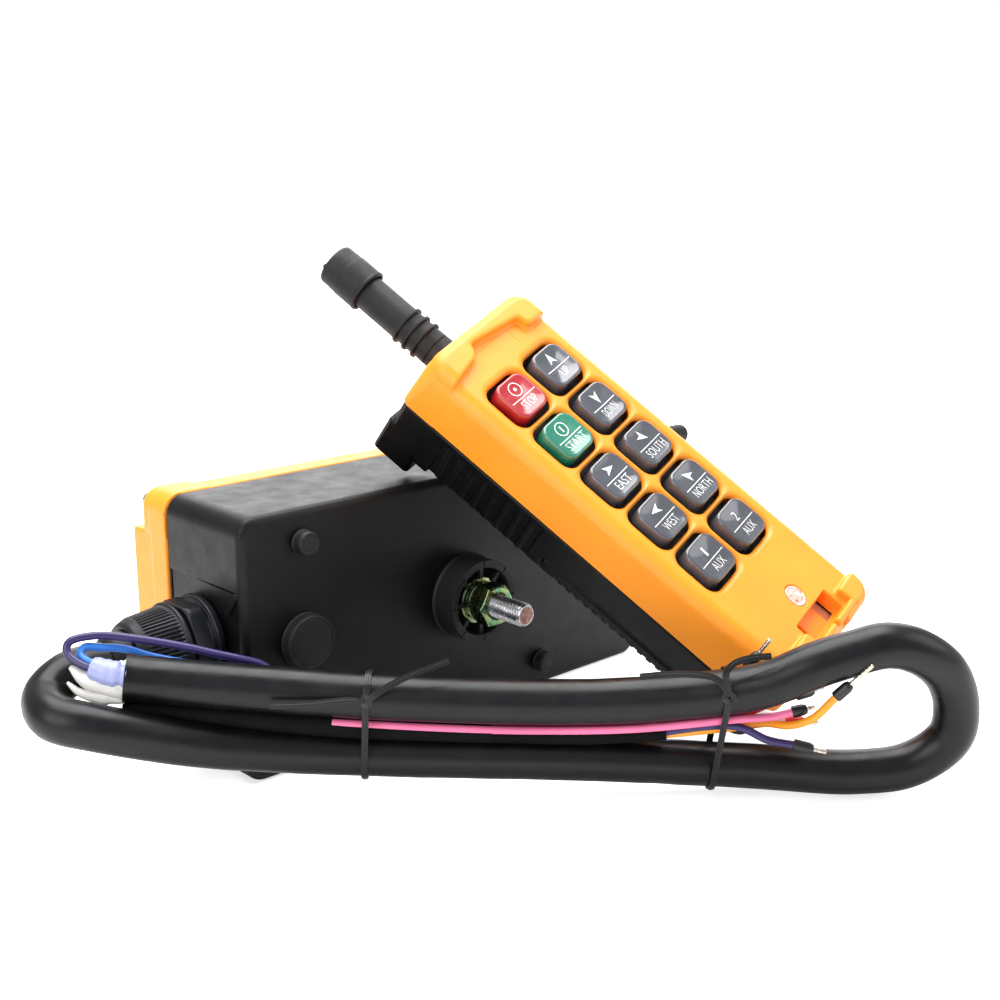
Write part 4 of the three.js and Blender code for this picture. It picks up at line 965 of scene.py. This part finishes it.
def cover_field(x, y, z):
    """Cover: flange, four raised corner pads for the screws and the lid between them."""
    flange, pads, top = COVER_Y + COVER_FLANGE, COVER_Y + CORNER_PAD["high"], COVER_Y + COVER_DEPTH
    corner = np.maximum(CORNER_PAD["x"] - np.abs(x), CORNER_PAD["z"] - np.abs(z))
    body = prism(box_outline(x, z), y, COVER_Y - 12, flange, 1.6)
    pad = prism(box_outline(x, z), y, COVER_Y - 12, pads, 2.6)
    body = add(body, both(pad, corner, 1.6), 0.8)
    lid = prism(rect2(x, z, LID["x"], LID["z"], LID["corner"]), y, COVER_Y - 2, top, 2)
    lid = less(lid, both(corner, pads - y, 1.0), 1.6)
    body = add(body, lid, 0.8)
    panel = prism(rect2(x, z, 74, 30, 6), y, top - 0.7, top + 5, 0.3)
    body = less(body, panel, 0.5)
    body = both(body, COVER_Y - y, 0.5)
    body = less(body, prism(box_outline(x, z, 3.1), y, COVER_Y - 9, flange - 3, 1), 0.3)
    hollow = prism(rect2(x, z, LID["x"] - 3.4, LID["z"] - 3.4, 2.5), y, COVER_Y - 9, top - 3, 1.5)
    hollow = less(hollow, np.maximum(corner - 3, pads - 3 - y), 0.5)
    body = less(body, hollow, 0.3)
    post = np.hypot(np.abs(x) - COVER_SCREWS[0], np.abs(z) - COVER_SCREWS[1])
    body = add(body, np.maximum(np.maximum(post - 5.4, COVER_Y - y), y - pads + 1), 0.6)
    body = less(body, post - 2.2 + 50 * (y > pads + 3), 0.2)
    return body


moulded_piece("housing", housing_field, (-109, FACE_Y, -52), (109, RIM_Y, 52), 0.9, BLACK, "receiver",
              replaces="receiver_housing", slot="black_shell")
moulded_piece("end_rib", fin_field, (-BOX_HALF[0] - 0.1, 39.8, 12.4), (-BOX_HALF[0] + 2.2, 49.8, 24), 0.25,
              BLACK, "receiver", slot="black_shell")
moulded_piece("cover", cover_field, (-109, COVER_Y, -52), (109, COVER_Y + COVER_DEPTH, 52), 0.9, ORANGE,
              "receiver_cover", replaces="receiver_cover", slot="orange_shell")


def toward_y(at=(0, 0, 0), sign=-1):
    """Frame with Z along -Y, out of the mounting face, or along +Y."""
    return axis_matrix((0, sign, 0), at)


for name, (px, pz, radius) in PLUGS.items():
    profile = [(0, -5.2)] + [(radius - inset, *rest) for inset, *rest in PLUG_STEPS] + [(0, 5.5)]
    turned(f"{name}_face", profile, RUBBER, "receiver", toward_y((px, FACE_Y, pz)), replaces=name,
           slot="black_rubber")


def damper_field(x, y, z):
    """Rubber ring with a hub and spokes; z points out of the mounting face."""
    away = np.hypot(x, y)
    body = np.maximum(away - 17.5 - 1.4 * np.clip((1.5 - z) / 1.5, 0, 1) ** 2, np.maximum(0.3 - z, z - 12.0))
    body = less(body, np.maximum(away - 14.1, 5.5 - z), 0.8)
    hub = np.maximum(away - 10.6, np.maximum(z - 7.0, 1 - z))
    body = add(body, hub, 0.5)
    spin = np.arctan2(y, x)
    fold = (spin + math.pi / 8) % (math.pi / 4) - math.pi / 8
    across = np.abs(away * np.sin(fold)) - 1.0
    spoke = np.maximum(np.maximum(across, away - 15.5), np.maximum(z - 10.4, 3 - z))
    body = add(body, np.maximum(spoke, 9.5 - away), 0.5)
    notch = np.maximum(np.maximum(np.abs(away * np.sin(fold)) - 0.35, 15 - away), 11.6 - z)
    body = less(body, notch, 0.2)
    return both(less(body, away - 5.25, 0.3), away - 19.0, 0.8)


moulded_piece("rubber_damper", damper_field, (-19.5, -19.5, 0), (19.5, 19.5, 12.2), 0.35, RUBBER, "receiver",
              place=toward_y((0, FACE_Y, 0)), replaces="mount_damper", slot="black_rubber")


def threaded(length, radius, depth, pitch, start, per=8, sides=48):
    """A helical thread as a radius that depends on height and angle."""
    heights = np.linspace(0, length, max(4, int(length / pitch * per)))
    profile = [(0, 0)] + [(radius, h) for h in heights] + [(0, length)]

    def radius_at(r, h, a):
        wave = (h / pitch - a / (2 * math.pi)) % 1
        tooth = abs(2 * wave - 1)
        cut = depth * np.clip(1.25 - tooth * 1.6, 0, 1)
        runout = np.clip((h - start) / 1.2, 0, 1) * np.clip((length - h) / 1.2 + 0.2, 0, 1)
        return radius - cut * runout - max(0, 1.0 - h) * 0.8

    return lathe(profile, sides, radius_at)


STUD = {"length": 39.8, "radius": 4.9, "thread": 0.72, "pitch": 1.5, "start": 0.2}
NUT_FLAT = 16
WASHER = {"hole": 5.3, "radius": 9.9}
SPRING = {"radius": 6.95, "start": 97, "sweep": 346, "rise": 0.44, "steps": 60}
stud_end = box_mm("mount_stud")[0][1]
thread = threaded(STUD["length"], STUD["radius"], STUD["thread"], STUD["pitch"], STUD["start"])
piece("stud_thread", *thread, STEEL, "receiver", toward_y((0, stud_end, 0), 1), replaces="mount_stud",
      slot="steel")
end_disc = [(0, -0.05), (3.7, -0.05), (3.95, 0.15), (3.9, 0.6), (0, 0.6)]
turned("stud_end_face", end_disc, STUD_END, "receiver", toward_y((0, stud_end + 0.04, 0), 1), 0.15, 32)


def hex_field(flat, high, chamfer):
    def field(x, y, z):
        away, ends = np.hypot(x, y), np.abs(z - high / 2) - high / 2
        cone = (away - flat / 2 - 0.1 + ends * chamfer) / math.hypot(1, chamfer)
        body = both(both(hexagon(x, y, flat), ends, 0.35), cone, 0.3)
        bore = away - 5.15
        bevel = (away - 5.9 - ends) * 0.7
        return less(less(body, bore, 0.2), np.minimum(bevel, 9), 0.2)
    return field


low, high = box_mm("mount_nut")
nut_high = high[1] - low[1]
nut_place = toward_y((0, low[1], 0), 1) @ Matrix.Rotation(math.radians(30), 4, "Z")
moulded_piece("hex_nut", hex_field(NUT_FLAT, nut_high, 1.7), (-9.5, -9.5, 0), (9.5, 9.5, nut_high), 0.22, ZINC,
              "mount_nut", place=nut_place, replaces="mount_nut", slot="yellow_zinc")
low, high = box_mm("flat_washer")
ring = [(WASHER[edge], h) for edge, h in (("hole", 0), ("radius", 0), ("radius", high[1] - low[1]),
                                          ("hole", high[1] - low[1]), ("hole", 0))]
turned("washer_flat", ring, ZINC, "mount_washers", toward_y((0, low[1], 0), 1), 0.35, replaces="flat_washer",
       slot="yellow_zinc")
low, high = box_mm("spring_washer")
first = (low[1] + high[1]) / 2 - SPRING["rise"] / 2
coil = []
for share in np.linspace(0, 1, SPRING["steps"]):
    t = math.radians(SPRING["start"] + SPRING["sweep"] * share)
    x, z = SPRING["radius"] * math.cos(t), SPRING["radius"] * math.sin(t)
    coil.append((x, first + SPRING["rise"] * share, z))
piece("washer_spring", *sweep(np.array(coil), cut_corners(1.6, 1.0, 0.15), up=(0, 1, 0)), ZINC, "mount_washers",
      replaces="spring_washer", slot="yellow_zinc", crease=40)

# ---------- gland and receiver antenna ----------
ON_GLAND = axis_matrix((-1, 0, 0), (-BOX_HALF[0], GLAND_Y, 0))
GLAND_FLAT = 32


def gland_hex_field(x, y, z):
    """Body of the gland: flanged hexagon, neck and threaded tail."""
    away, from_middle = np.hypot(x, y), np.abs(z - 7.6)
    nut = both(hexagon(x, y, GLAND_FLAT), from_middle - 4.0, 0.8)
    nut = both(nut, away - 17.8 + np.clip(from_middle - 2.6, 0, 2) * 0.7, 0.6)
    flange = prism(away - 17.9, z, 0.3, 3.2, 0.7)
    inner = prism(away - 16.4, z, 0.3, 4.6, 0.5)
    neck = np.maximum(away - 13, np.maximum(-8 - z, z - 19.8))
    body = add(add(add(nut, flange, 0.4), inner, 0.5), neck, 0.4)
    thread = np.maximum(away - 12.2, z - 0.3)
    body = np.where(z < 0.3, np.maximum(thread, -8 - z), body)
    return less(body, away - 8.0, 0.3)


moulded_piece("gland_foot", gland_hex_field, (-18.5, -18.5, -8), (18.5, 18.5, 20), 0.4, GLAND, "receiver",
              place=ON_GLAND, replaces="gland_body", slot="black_rubber")
NUT_RIBS = 60
nut_profile = softened([(13.3, 12.6), (15.6, 12.6), (17.1, 13.2, 0.6), (17.1, 14.6), (16.2, 15.2), (16.2, 15.4)]
                       + [(16.2 - 1.5 * i / 10, 15.4 + 13.2 * i / 10) for i in range(1, 11)]
                       + [(14.2, 29.6), (13.2, 32.0, 1.5), (12.2, 33), (10.5, 33), (10.5, 20.6), (13.3, 20.6),
                          (13.3, 12.6)], 0.35)


def nut_ribs(r, h, a):
    """Shallow gripping ribs on the tapered part of the cap nut."""
    ribbed = np.clip((h - 15.3) / 0.6, 0, 1) * np.clip((29.2 - h) / 0.6, 0, 1) * (r > 13.9)
    return r - 0.7 * ribbed * np.clip(0.5 + 1.1 * math.sin(NUT_RIBS * a), 0, 1)


piece("gland_cap_nut", *lathe(nut_profile, NUT_RIBS * 6, nut_ribs), GLAND, "gland_nut", ON_GLAND,
      replaces="gland_nut", slot="black_shell", crease=50)
seal = [(8.0, 20.8), (10, 20.8), (10, 33.3), (11.0, 33.3, 0.6), (10.9, 36.2), (10.2, 39.2, 1.5),
        (8.8, 40.9, 1), (8.0, 41), (8.0, 20.8)]
turned("gland_grommet", seal, RUBBER, "receiver", ON_GLAND, 0.8, replaces="gland_seal", slot="black_rubber")
stub_at = axis_matrix((1, 0, 0), (BOX_HALF[0], *STUB))
stub = [(0, -5), (3.2, -5), (3.2, 0.3), (7, 0.3), (6.9, 1.6, 0.8), (6, 2.2), (5.4, 8.9), (0, 8.9)]
turned("aerial_foot", stub, RUBBER, "receiver", stub_at, replaces="receiver_antenna_base", slot="black_rubber")
aerial = [(0, 9.6), (3, 9.6), (4.6, 10.8)]
for at in (14, 18, 22):
    aerial += [(4.6, at - 1.2), (5.2, at - 0.8), (5.2, at + 0.8), (4.6, at + 1.2)]
aerial += [(4.6, 46), (4.75, 46.6), (4.75, 57, 2.5), (3.4, 58.8, 1.2), (0, 59)]
turned("aerial_rod", aerial, RUBBER, "receiver_antenna", stub_at, 0.4, replaces="receiver_antenna",
       slot="black_rubber")

# ---------- lead ----------
COIL_HEADING = math.radians(-43.1)
COIL_AT = (-49.8, -37.8, -52.0)
COIL = Matrix.Translation(COIL_AT) @ Matrix.Rotation(COIL_HEADING, 4, "Z")
GLAND_IN_COIL = COIL.inverted() @ Vector((-BOX_HALF[0], GLAND_Y, 0))
GLAND_WAY = COIL.inverted().to_3x3() @ Vector((-1, 0, 0))


def on_gland_line(out):
    return tuple(GLAND_IN_COIL + GLAND_WAY * out)


# Lead, wires and ties are in the coil's frame: x along the coil, -y towards the camera
LEAD_PATH = [on_gland_line(-12), on_gland_line(14), on_gland_line(41), (-154, -4, 52.5), (-159, -14, 48),
             (-153, -26, 45.2), (-139, -27, 41.8), (-107, -13, 29.7), (-73, -3, 22.7), (-37, 2, 19), (37, 5, 15.8),
             (93, 7, 12), (131, 8, 9.2), (153, 9, 12), (166, 8, 23), (167, 6, 36), (161, 2, 50.5), (149, -3, 60.5),
             (137, -6, 64), (124, -7.5, 61.4), (110, -8, 56.8), (96, -7.5, 50.4), (80, -6, 46.4), (36, -4, 42),
             (-36, -5, 43.9), (-89, -8, 49), (-131, -14, 55)]
LEAD, LEAD_AT = smooth_path(LEAD_PATH, 24)
CUT_END = LEAD_PATH[-1]
TIES = (-48, 79)


def run_at(x, upper):
    """Where the upper or lower run of the coil passes a given x."""
    share = LEAD_AT / LEAD_AT[-1]
    run = LEAD[(share >= 0.6) & (share <= 1)] if upper else LEAD[(share >= 0.15) & (share <= 0.55)]
    run = run[np.argsort(run[:, 0])]
    return np.array([x, np.interp(x, run[:, 0], run[:, 1]), np.interp(x, run[:, 0], run[:, 2])])


def beside(x, radius, turn):
    """A point round the upper run, at an angle from its front."""
    run, a = run_at(x, True), math.radians(turn)
    return (x, run[1] - radius * math.cos(a), run[2] + radius * math.sin(a))


def from_cut_end(out, forward, up):
    """A point just outside the cut end of the sheath."""
    return (CUT_END[0] - out, CUT_END[1] - forward - out * 0.14, CUT_END[2] + up + out * 0.1)


LANES = {"pink": (-1.8, -10.3), "violet": (1.4, -14.2), "red": (2.3, -11), "orange": (2.4, -15.1),
         "white": (5.9, -11.2), "blue": (9.4, -11.4)}


def lane(name, until):
    """The straight part of a wire, at its place under the upper run."""
    dy, dz = LANES[name]
    out = []
    for share in (0, 0.25, 0.5, 0.75, 1):
        x = -60 + share * (until + 60)
        run = run_at(x, True)
        out.append((x, run[1] + dy, run[2] + dz))
    return out


WIRES = {
    "violet": ([from_cut_end(0.8, 4.3, 2.2), (-139.5, -17.6, 59.4), (-144.9, -17, 60.9), (-150.6, -14.5, 64.6),
                (-150.2, -12.5, 67.6), (-142, -9, 68.8), (-128.9, -6, 66.6), (-111.1, -3.4, 62.4),
                (-102, -2, 59.6), (-93, 0.3, 56.6), (-86, 3.4, 53.2), beside(-79, 11.4, 186),
                beside(-72, 13.6, 232), beside(-66, 15, 262), *lane("violet", 84), (97, -4, 27), (107, -5, 25.5)],
               (117.5, -6.5, 23.5)),
    "blue": ([from_cut_end(0.8, 0.7, 4.6), (-138.5, -16, 60), (-146.4, -12.8, 63), (-145.6, -10.6, 65),
              (-139.9, -8.6, 64.2), (-133, -6, 62.8), beside(-124, 10.1, 148), beside(-110, 10.1, 160),
              beside(-92, 10.1, 160), beside(-78, 10.1, 172), beside(-68, 12.4, 200), *lane("blue", 80),
              (87, 5, 42), (90, 3.4, 53)], (96.6, 0.5, 64.1)),
    "white": ([*lane("white", 84), (98, 5, 33.5), (105, 3, 31.5)], (116, 3, 31)),
    "red": ([*lane("red", 84), (98, 0.5, 39.5), (108, 0.5, 43)], (117, 1, 45.5)),
    "pink": ([*lane("pink", 84), (98, -3.6, 36), (106, -4, 38.2)], (113, -4.2, 40)),
    "orange": ([*lane("orange", 84), (97, 0.8, 31.6), (104, -4.5, 33), (111, -10, 38), (118.8, -13, 48.1)],
               (129.8, -15, 60.1)),
}


def wander(count, size, seed):
    """A slow random drift along a path."""
    draws = np.random.default_rng(seed).normal(size=count // 6 + 4)
    return size * np.interp(np.linspace(0, len(draws) - 1, count), np.arange(len(draws)), draws)


def soft_tube(name, path, radii, look, seed):
    """A tube of changing radius with a slightly crumpled outline."""
    line, at = spaced(smooth_path(path, 12)[0], 0.5)
    sizes = np.interp(at, np.linspace(0, at[-1], len(radii)), radii)
    angles = np.linspace(0, 2 * math.pi, 40, endpoint=False)
    outline = [(r * math.cos(t), r * math.sin(t)) for t, r in zip(angles, 1 + wander(40, 0.05, seed))]
    sizes = sizes * (1 + wander(len(sizes), 0.06, seed + 1))
    piece(name, *sweep(line, outline, scale_at=sizes), look, "receiver", COIL, slot="wire_white", crease=50)


lead_path, lead_length = spaced(LEAD, 1.5)
swell = 1 + wander(len(lead_path), 0.006, 3)
from_end = lead_length[-1] - lead_length
swell += 0.07 * np.clip(1 - from_end / 4, 0, 1) ** 2
sheath = sweep(lead_path, round_section(CABLE_RADIUS, 32), scale_at=swell)
piece("sheath", *sheath, SHEATH, "receiver", COIL, replaces="cable", slot="cable_sheath", crease=60)

lead_way = (lead_path[-1] - lead_path[-4]) / np.linalg.norm(lead_path[-1] - lead_path[-4])
core_path = [np.array(CUT_END) + lead_way * d for d in (-1, 0.5, 2, 3.5)]
soft_tube("filler_core", core_path, (6.9, 6.7, 6.2, 4.5), WHITE_FILL, 8)
soft_tube("core_sleeve", [(-130, -17.4, 56.8), (-133, -17.8, 57.6), (-137, -17.8, 58.6), (-141.5, -17.2, 60)],
          (4.2, 4.4, 4.1, 3.6), LAVENDER, 12)
soft_tube("filler_lobe", [(-130, -15.6, 51), (-137, -16.8, 52.6), (-144, -16.8, 55.4), (-149.5, -15.6, 59.6)],
          (4.2, 3.9, 3.2, 1.0), WHITE_FILL, 16)
soft_tube("filler_tongue", [(-131, -17, 48.6), (-138, -18, 48.8), (-146, -18, 51), (-150.5, -17, 54.4)],
          (1.9, 2.2, 1.8, 0.5), WHITE_FILL, 20)

# Dull black sheets of painted shade that fill the dark gap between the coil's runs and hide the cores there: from
# x, to x, back, down, and the half sizes of the section
SHADE_SHEETS = {"core_wrap_1": (-133, -3, 3.4, -12.2, 6.6, 5.0), "core_wrap_2": (-3.5, 60, 4.4, -13.6, 6.0, 4.0)}
SHADE_SHEET_STEPS = 24
for name, (start, stop, back, down, wide, high) in SHADE_SHEETS.items():
    shade_path = [run_at(x, True) + np.array((0, back, down)) for x in np.linspace(start, stop, SHADE_SHEET_STEPS)]
    angles = np.linspace(0, 2 * math.pi, 28, endpoint=False)
    outline = [(wide * math.cos(t), high * math.sin(t)) for t in angles]
    piece(name, *sweep(np.array(shade_path), outline, scale_at=1 + wander(SHADE_SHEET_STEPS, 0.04, 5)), DULL_BLACK_AND_SHADE, "receiver",
          COIL, slot="cable_sheath", crease=50)

CRIMP_PITCH = 1.6
SLEEVE_LONG = 6.0
for name, (path, end) in WIRES.items():
    line = spaced(smooth_path(path, 10)[0], 1.0)[0]
    piece(f"core_{name}", *sweep(line, round_section(WIRE_RADIUS, 16)), WIRE_LOOKS[name], "receiver", COIL,
          replaces=f"wire_{name}", slot=f"wire_{name}", crease=60)
    way = np.array(end) - np.array(path[-1])
    long = np.linalg.norm(way)
    sleeve = min(SLEEVE_LONG, long * 0.6)
    at = COIL @ axis_matrix(way, path[-1])
    collar = [(0, -1.2), (2.1, -1.2), (2.15, -0.4), (2.1, sleeve - 1.6), (1.5, sleeve, 0.5), (0, sleeve)]
    turned(f"ferrule_collar_{name}", collar, COLLAR_RED if name == "white" else COLLAR, "receiver", at, 0.3, 24,
           slot="black_shell")

    def crimp(r, h, a, start=sleeve):
        bite = 0.5 + 0.5 * math.cos((h - start) * 2 * math.pi / CRIMP_PITCH)
        return r * (1 - 0.22 * bite * (abs(math.cos(a)) > 0.5)) if r > 0.5 else r

    steps = [(0.95, h) for h in np.linspace(sleeve - 0.3, long - 0.4, 24)]
    pin = [(0, sleeve - 0.3)] + steps + [(0.6, long), (0, long)]
    piece(f"ferrule_pin_{name}", *lathe(pin, 16, crimp), TIN, "receiver", at, slot="steel", crease=50)

TIE_HALF = [(-1.15, -0.28), (-0.45, -0.3), (-0.3, -0.55), (0.3, -0.55), (0.45, -0.3), (1.15, -0.28), (1.2, 0)]
TIE_SECTION = TIE_HALF + [(-s, -u) for s, u in TIE_HALF]
TIE_GAP = 0.75
TIE_LEAN = 1.2
TIE_TAILS = [
    [[(-47, -15.4, 46), (-44, -15.7, 49), (-34, -13.4, 54.4), (-18, -9.4, 59.6)],
     [(-47, -15.3, 46), (-52, -16.3, 47.5), (-66, -18.1, 46.8), (-80, -18.9, 46.5)]],
    [[(80, -16.2, 49), (78.6, -15.8, 57), (81, -14.6, 60), (86, -13.2, 61.6), (94.8, -12, 62.3)],
     [(80, -16.2, 49), (75.6, -15.6, 55), (67.4, -14.2, 56.2), (57.8, -12.6, 55.6), (49.1, -11.6, 54.4)]],
]
KNOT = [(1, 0, -1.5), (2.6, -1, -0.4), (2.4, -0.8, 1.4), (0.4, 0, 1.8), (-0.6, -0.2, 0.2), (1.2, -1.3, -0.8),
        (3, -0.6, 0.6)]
for number, x in enumerate(TIES):
    up, low = run_at(x, True), run_at(x, False)
    reach = CABLE_RADIUS + TIE_GAP
    along = (up - low) / np.linalg.norm(up - low)
    across = np.cross(along, (1, 0, 0))
    loop = []
    for centre, start in ((up, 0), (low, 180)):
        for k in range(13):
            a = math.radians(start + 180 * k / 12)
            loop.append(centre + across * reach * math.cos(a) + along * reach * math.sin(a))
    loop = np.array(loop)
    loop[:, 0] += TIE_LEAN * (loop[:, 2] - loop[:, 2].mean()) / 20
    closed = spaced(np.vstack([loop, loop[:1]]), 0.9)[0]
    loops = [sweep(closed, TIE_SECTION, up=across, caps=False)]
    for tail in TIE_TAILS[number]:
        line = spaced(smooth_path(tail, 8)[0], 0.8)[0]
        loops.append(sweep(line, TIE_SECTION, up=(0, -1, 0.2)))
    at = (x, up[1] - CABLE_RADIUS - 1.2, up[2] + 1.5)
    knot = smooth_path(np.array(KNOT) + at, 8)[0]
    loops.append(sweep(spaced(knot, 0.5)[0], [(s * 0.8, u) for s, u in TIE_SECTION], up=(0, -1, 0)))
    piece(f"twist_tie_{number + 1}", *joined(loops), TIE, "receiver", COIL,
          replaces=f"cable_tie_{number + 1}", slot="black_rubber", crease=40)

# ---------- CAD pieces that keep their shape ----------
KEPT = {
    "cover_gasket": RUBBER, "handset_seam_gasket": DULL_BLACK_AND_SHADE, "receiver_circuit_board": BOARD, "relay_bank": RELAY,
    "transformer": TRANSFORMER, "terminal_block": TERMINAL, "gland_locknut": GLAND, "battery_1": BATTERY,
    "battery_2": BATTERY, "handset_circuit_board": BOARD, "keypad_membrane": SILICONE,
}
KEPT.update({f"{place}_screw_{i}": STEEL for place in ("cover", "case") for i in (1, 2, 3, 4)})
EDGE_SOFT = 0.15 * MM
for name, look in KEPT.items():
    node = NODES[name]
    node.data.materials.clear()
    node.data.materials.append(look)
    soft = node.modifiers.new("edges", "BEVEL")
    soft.width = EDGE_SOFT
    soft.segments = 2
    soft.limit_method = "ANGLE"
    soft.angle_limit = math.radians(40)

# ---------- floor, light and camera ----------
AMBIENT = 0.55
BACKDROP = 1.0
FLOOR_GLOW = 0.6
FLOOR_HALF = 6


def seen_by_camera(tree, otherwise, level):
    """One strength for what the camera sees directly and another for all other light."""
    rays = tree.nodes.new("ShaderNodeLightPath")
    return mapped(tree, rays.outputs["Is Camera Ray"], 0, 1, otherwise, level)


FLOOR_Z = CAD_BOX[0][2]
floor_mesh = bpy.data.meshes.new("floor")
corners = [(x * FLOOR_HALF, y * FLOOR_HALF, FLOOR_Z) for x, y in ((-1, -1), (1, -1), (1, 1), (-1, 1))]
floor_mesh.from_pydata(corners, [], [(0, 1, 2, 3)])
floor = bpy.data.objects.new("floor", floor_mesh)
bpy.context.scene.collection.objects.link(floor)
paper = plastic("floor_paper", rgb(246, 246, 246), 0.7, 2.0, 0.01, 0.01, 0)
shader = next(n for n in paper.node_tree.nodes if n.type == "BSDF_PRINCIPLED")
shader.inputs["Emission Color"].default_value = (1, 1, 1, 1)
paper.node_tree.links.new(seen_by_camera(paper.node_tree, 0, FLOOR_GLOW), shader.inputs["Emission Strength"])
floor.data.materials.append(paper)


def lamp(name, at, target, size, power):
    data = bpy.data.lights.new(name, "AREA")
    data.shape = "RECTANGLE"
    data.size, data.size_y = size
    data.energy = power
    obj = bpy.data.objects.new(name, data)
    bpy.context.scene.collection.objects.link(obj)
    aim = (Vector(target) - Vector(at)).to_track_quat("-Z", "Y")
    obj.matrix_world = Matrix.Translation(at) @ aim.to_matrix().to_4x4()
    obj.visible_camera = False


CAMERA_AT = Vector((-0.3847, -0.3954, 0.188))
CAMERA_TURN = math.radians(43.117)
CAMERA_PITCH = math.radians(14.255)
CAMERA_LENS = 52.2
SENSOR_WIDTH = 36
# Each lamp: where, what it points at, its two sizes in metres and its power
LAMPS = {
    "overhead": ((0.1, 0.2, 1.1), (0.02, 0.03, 0), (1.2, 1.0), 27),
    "front_left": ((-1.1, -0.25, 0.55), (0, 0, 0.02), (0.8, 0.8), 8),
    "behind": ((1.2, 1.25, 0.75), (0, 0.05, 0), (2.2, 1.0), 20),
    "right": ((0.9, -0.9, 0.7), (0.05, 0, 0.02), (0.8, 0.8), 4.5),
}
for name, settings in LAMPS.items():
    lamp(name, *settings)
world = bpy.data.worlds.new("studio")
bpy.context.scene.world = world
world.use_nodes = True
sky = world.node_tree.nodes["Background"]
sky.inputs[0].default_value = (1, 1, 1, 1)
world.node_tree.links.new(seen_by_camera(world.node_tree, AMBIENT, BACKDROP), sky.inputs[1])

camera = bpy.data.cameras.new("camera")
camera.lens = CAMERA_LENS
camera.sensor_width = SENSOR_WIDTH
camera.clip_start = 0.01
view = bpy.data.objects.new("camera", camera)
bpy.context.scene.collection.objects.link(view)
view.location = CAMERA_AT
view.rotation_euler = (math.pi / 2 - CAMERA_PITCH, 0, -CAMERA_TURN)
bpy.context.scene.camera = view
bpy.context.scene.view_settings.view_transform = "Standard"
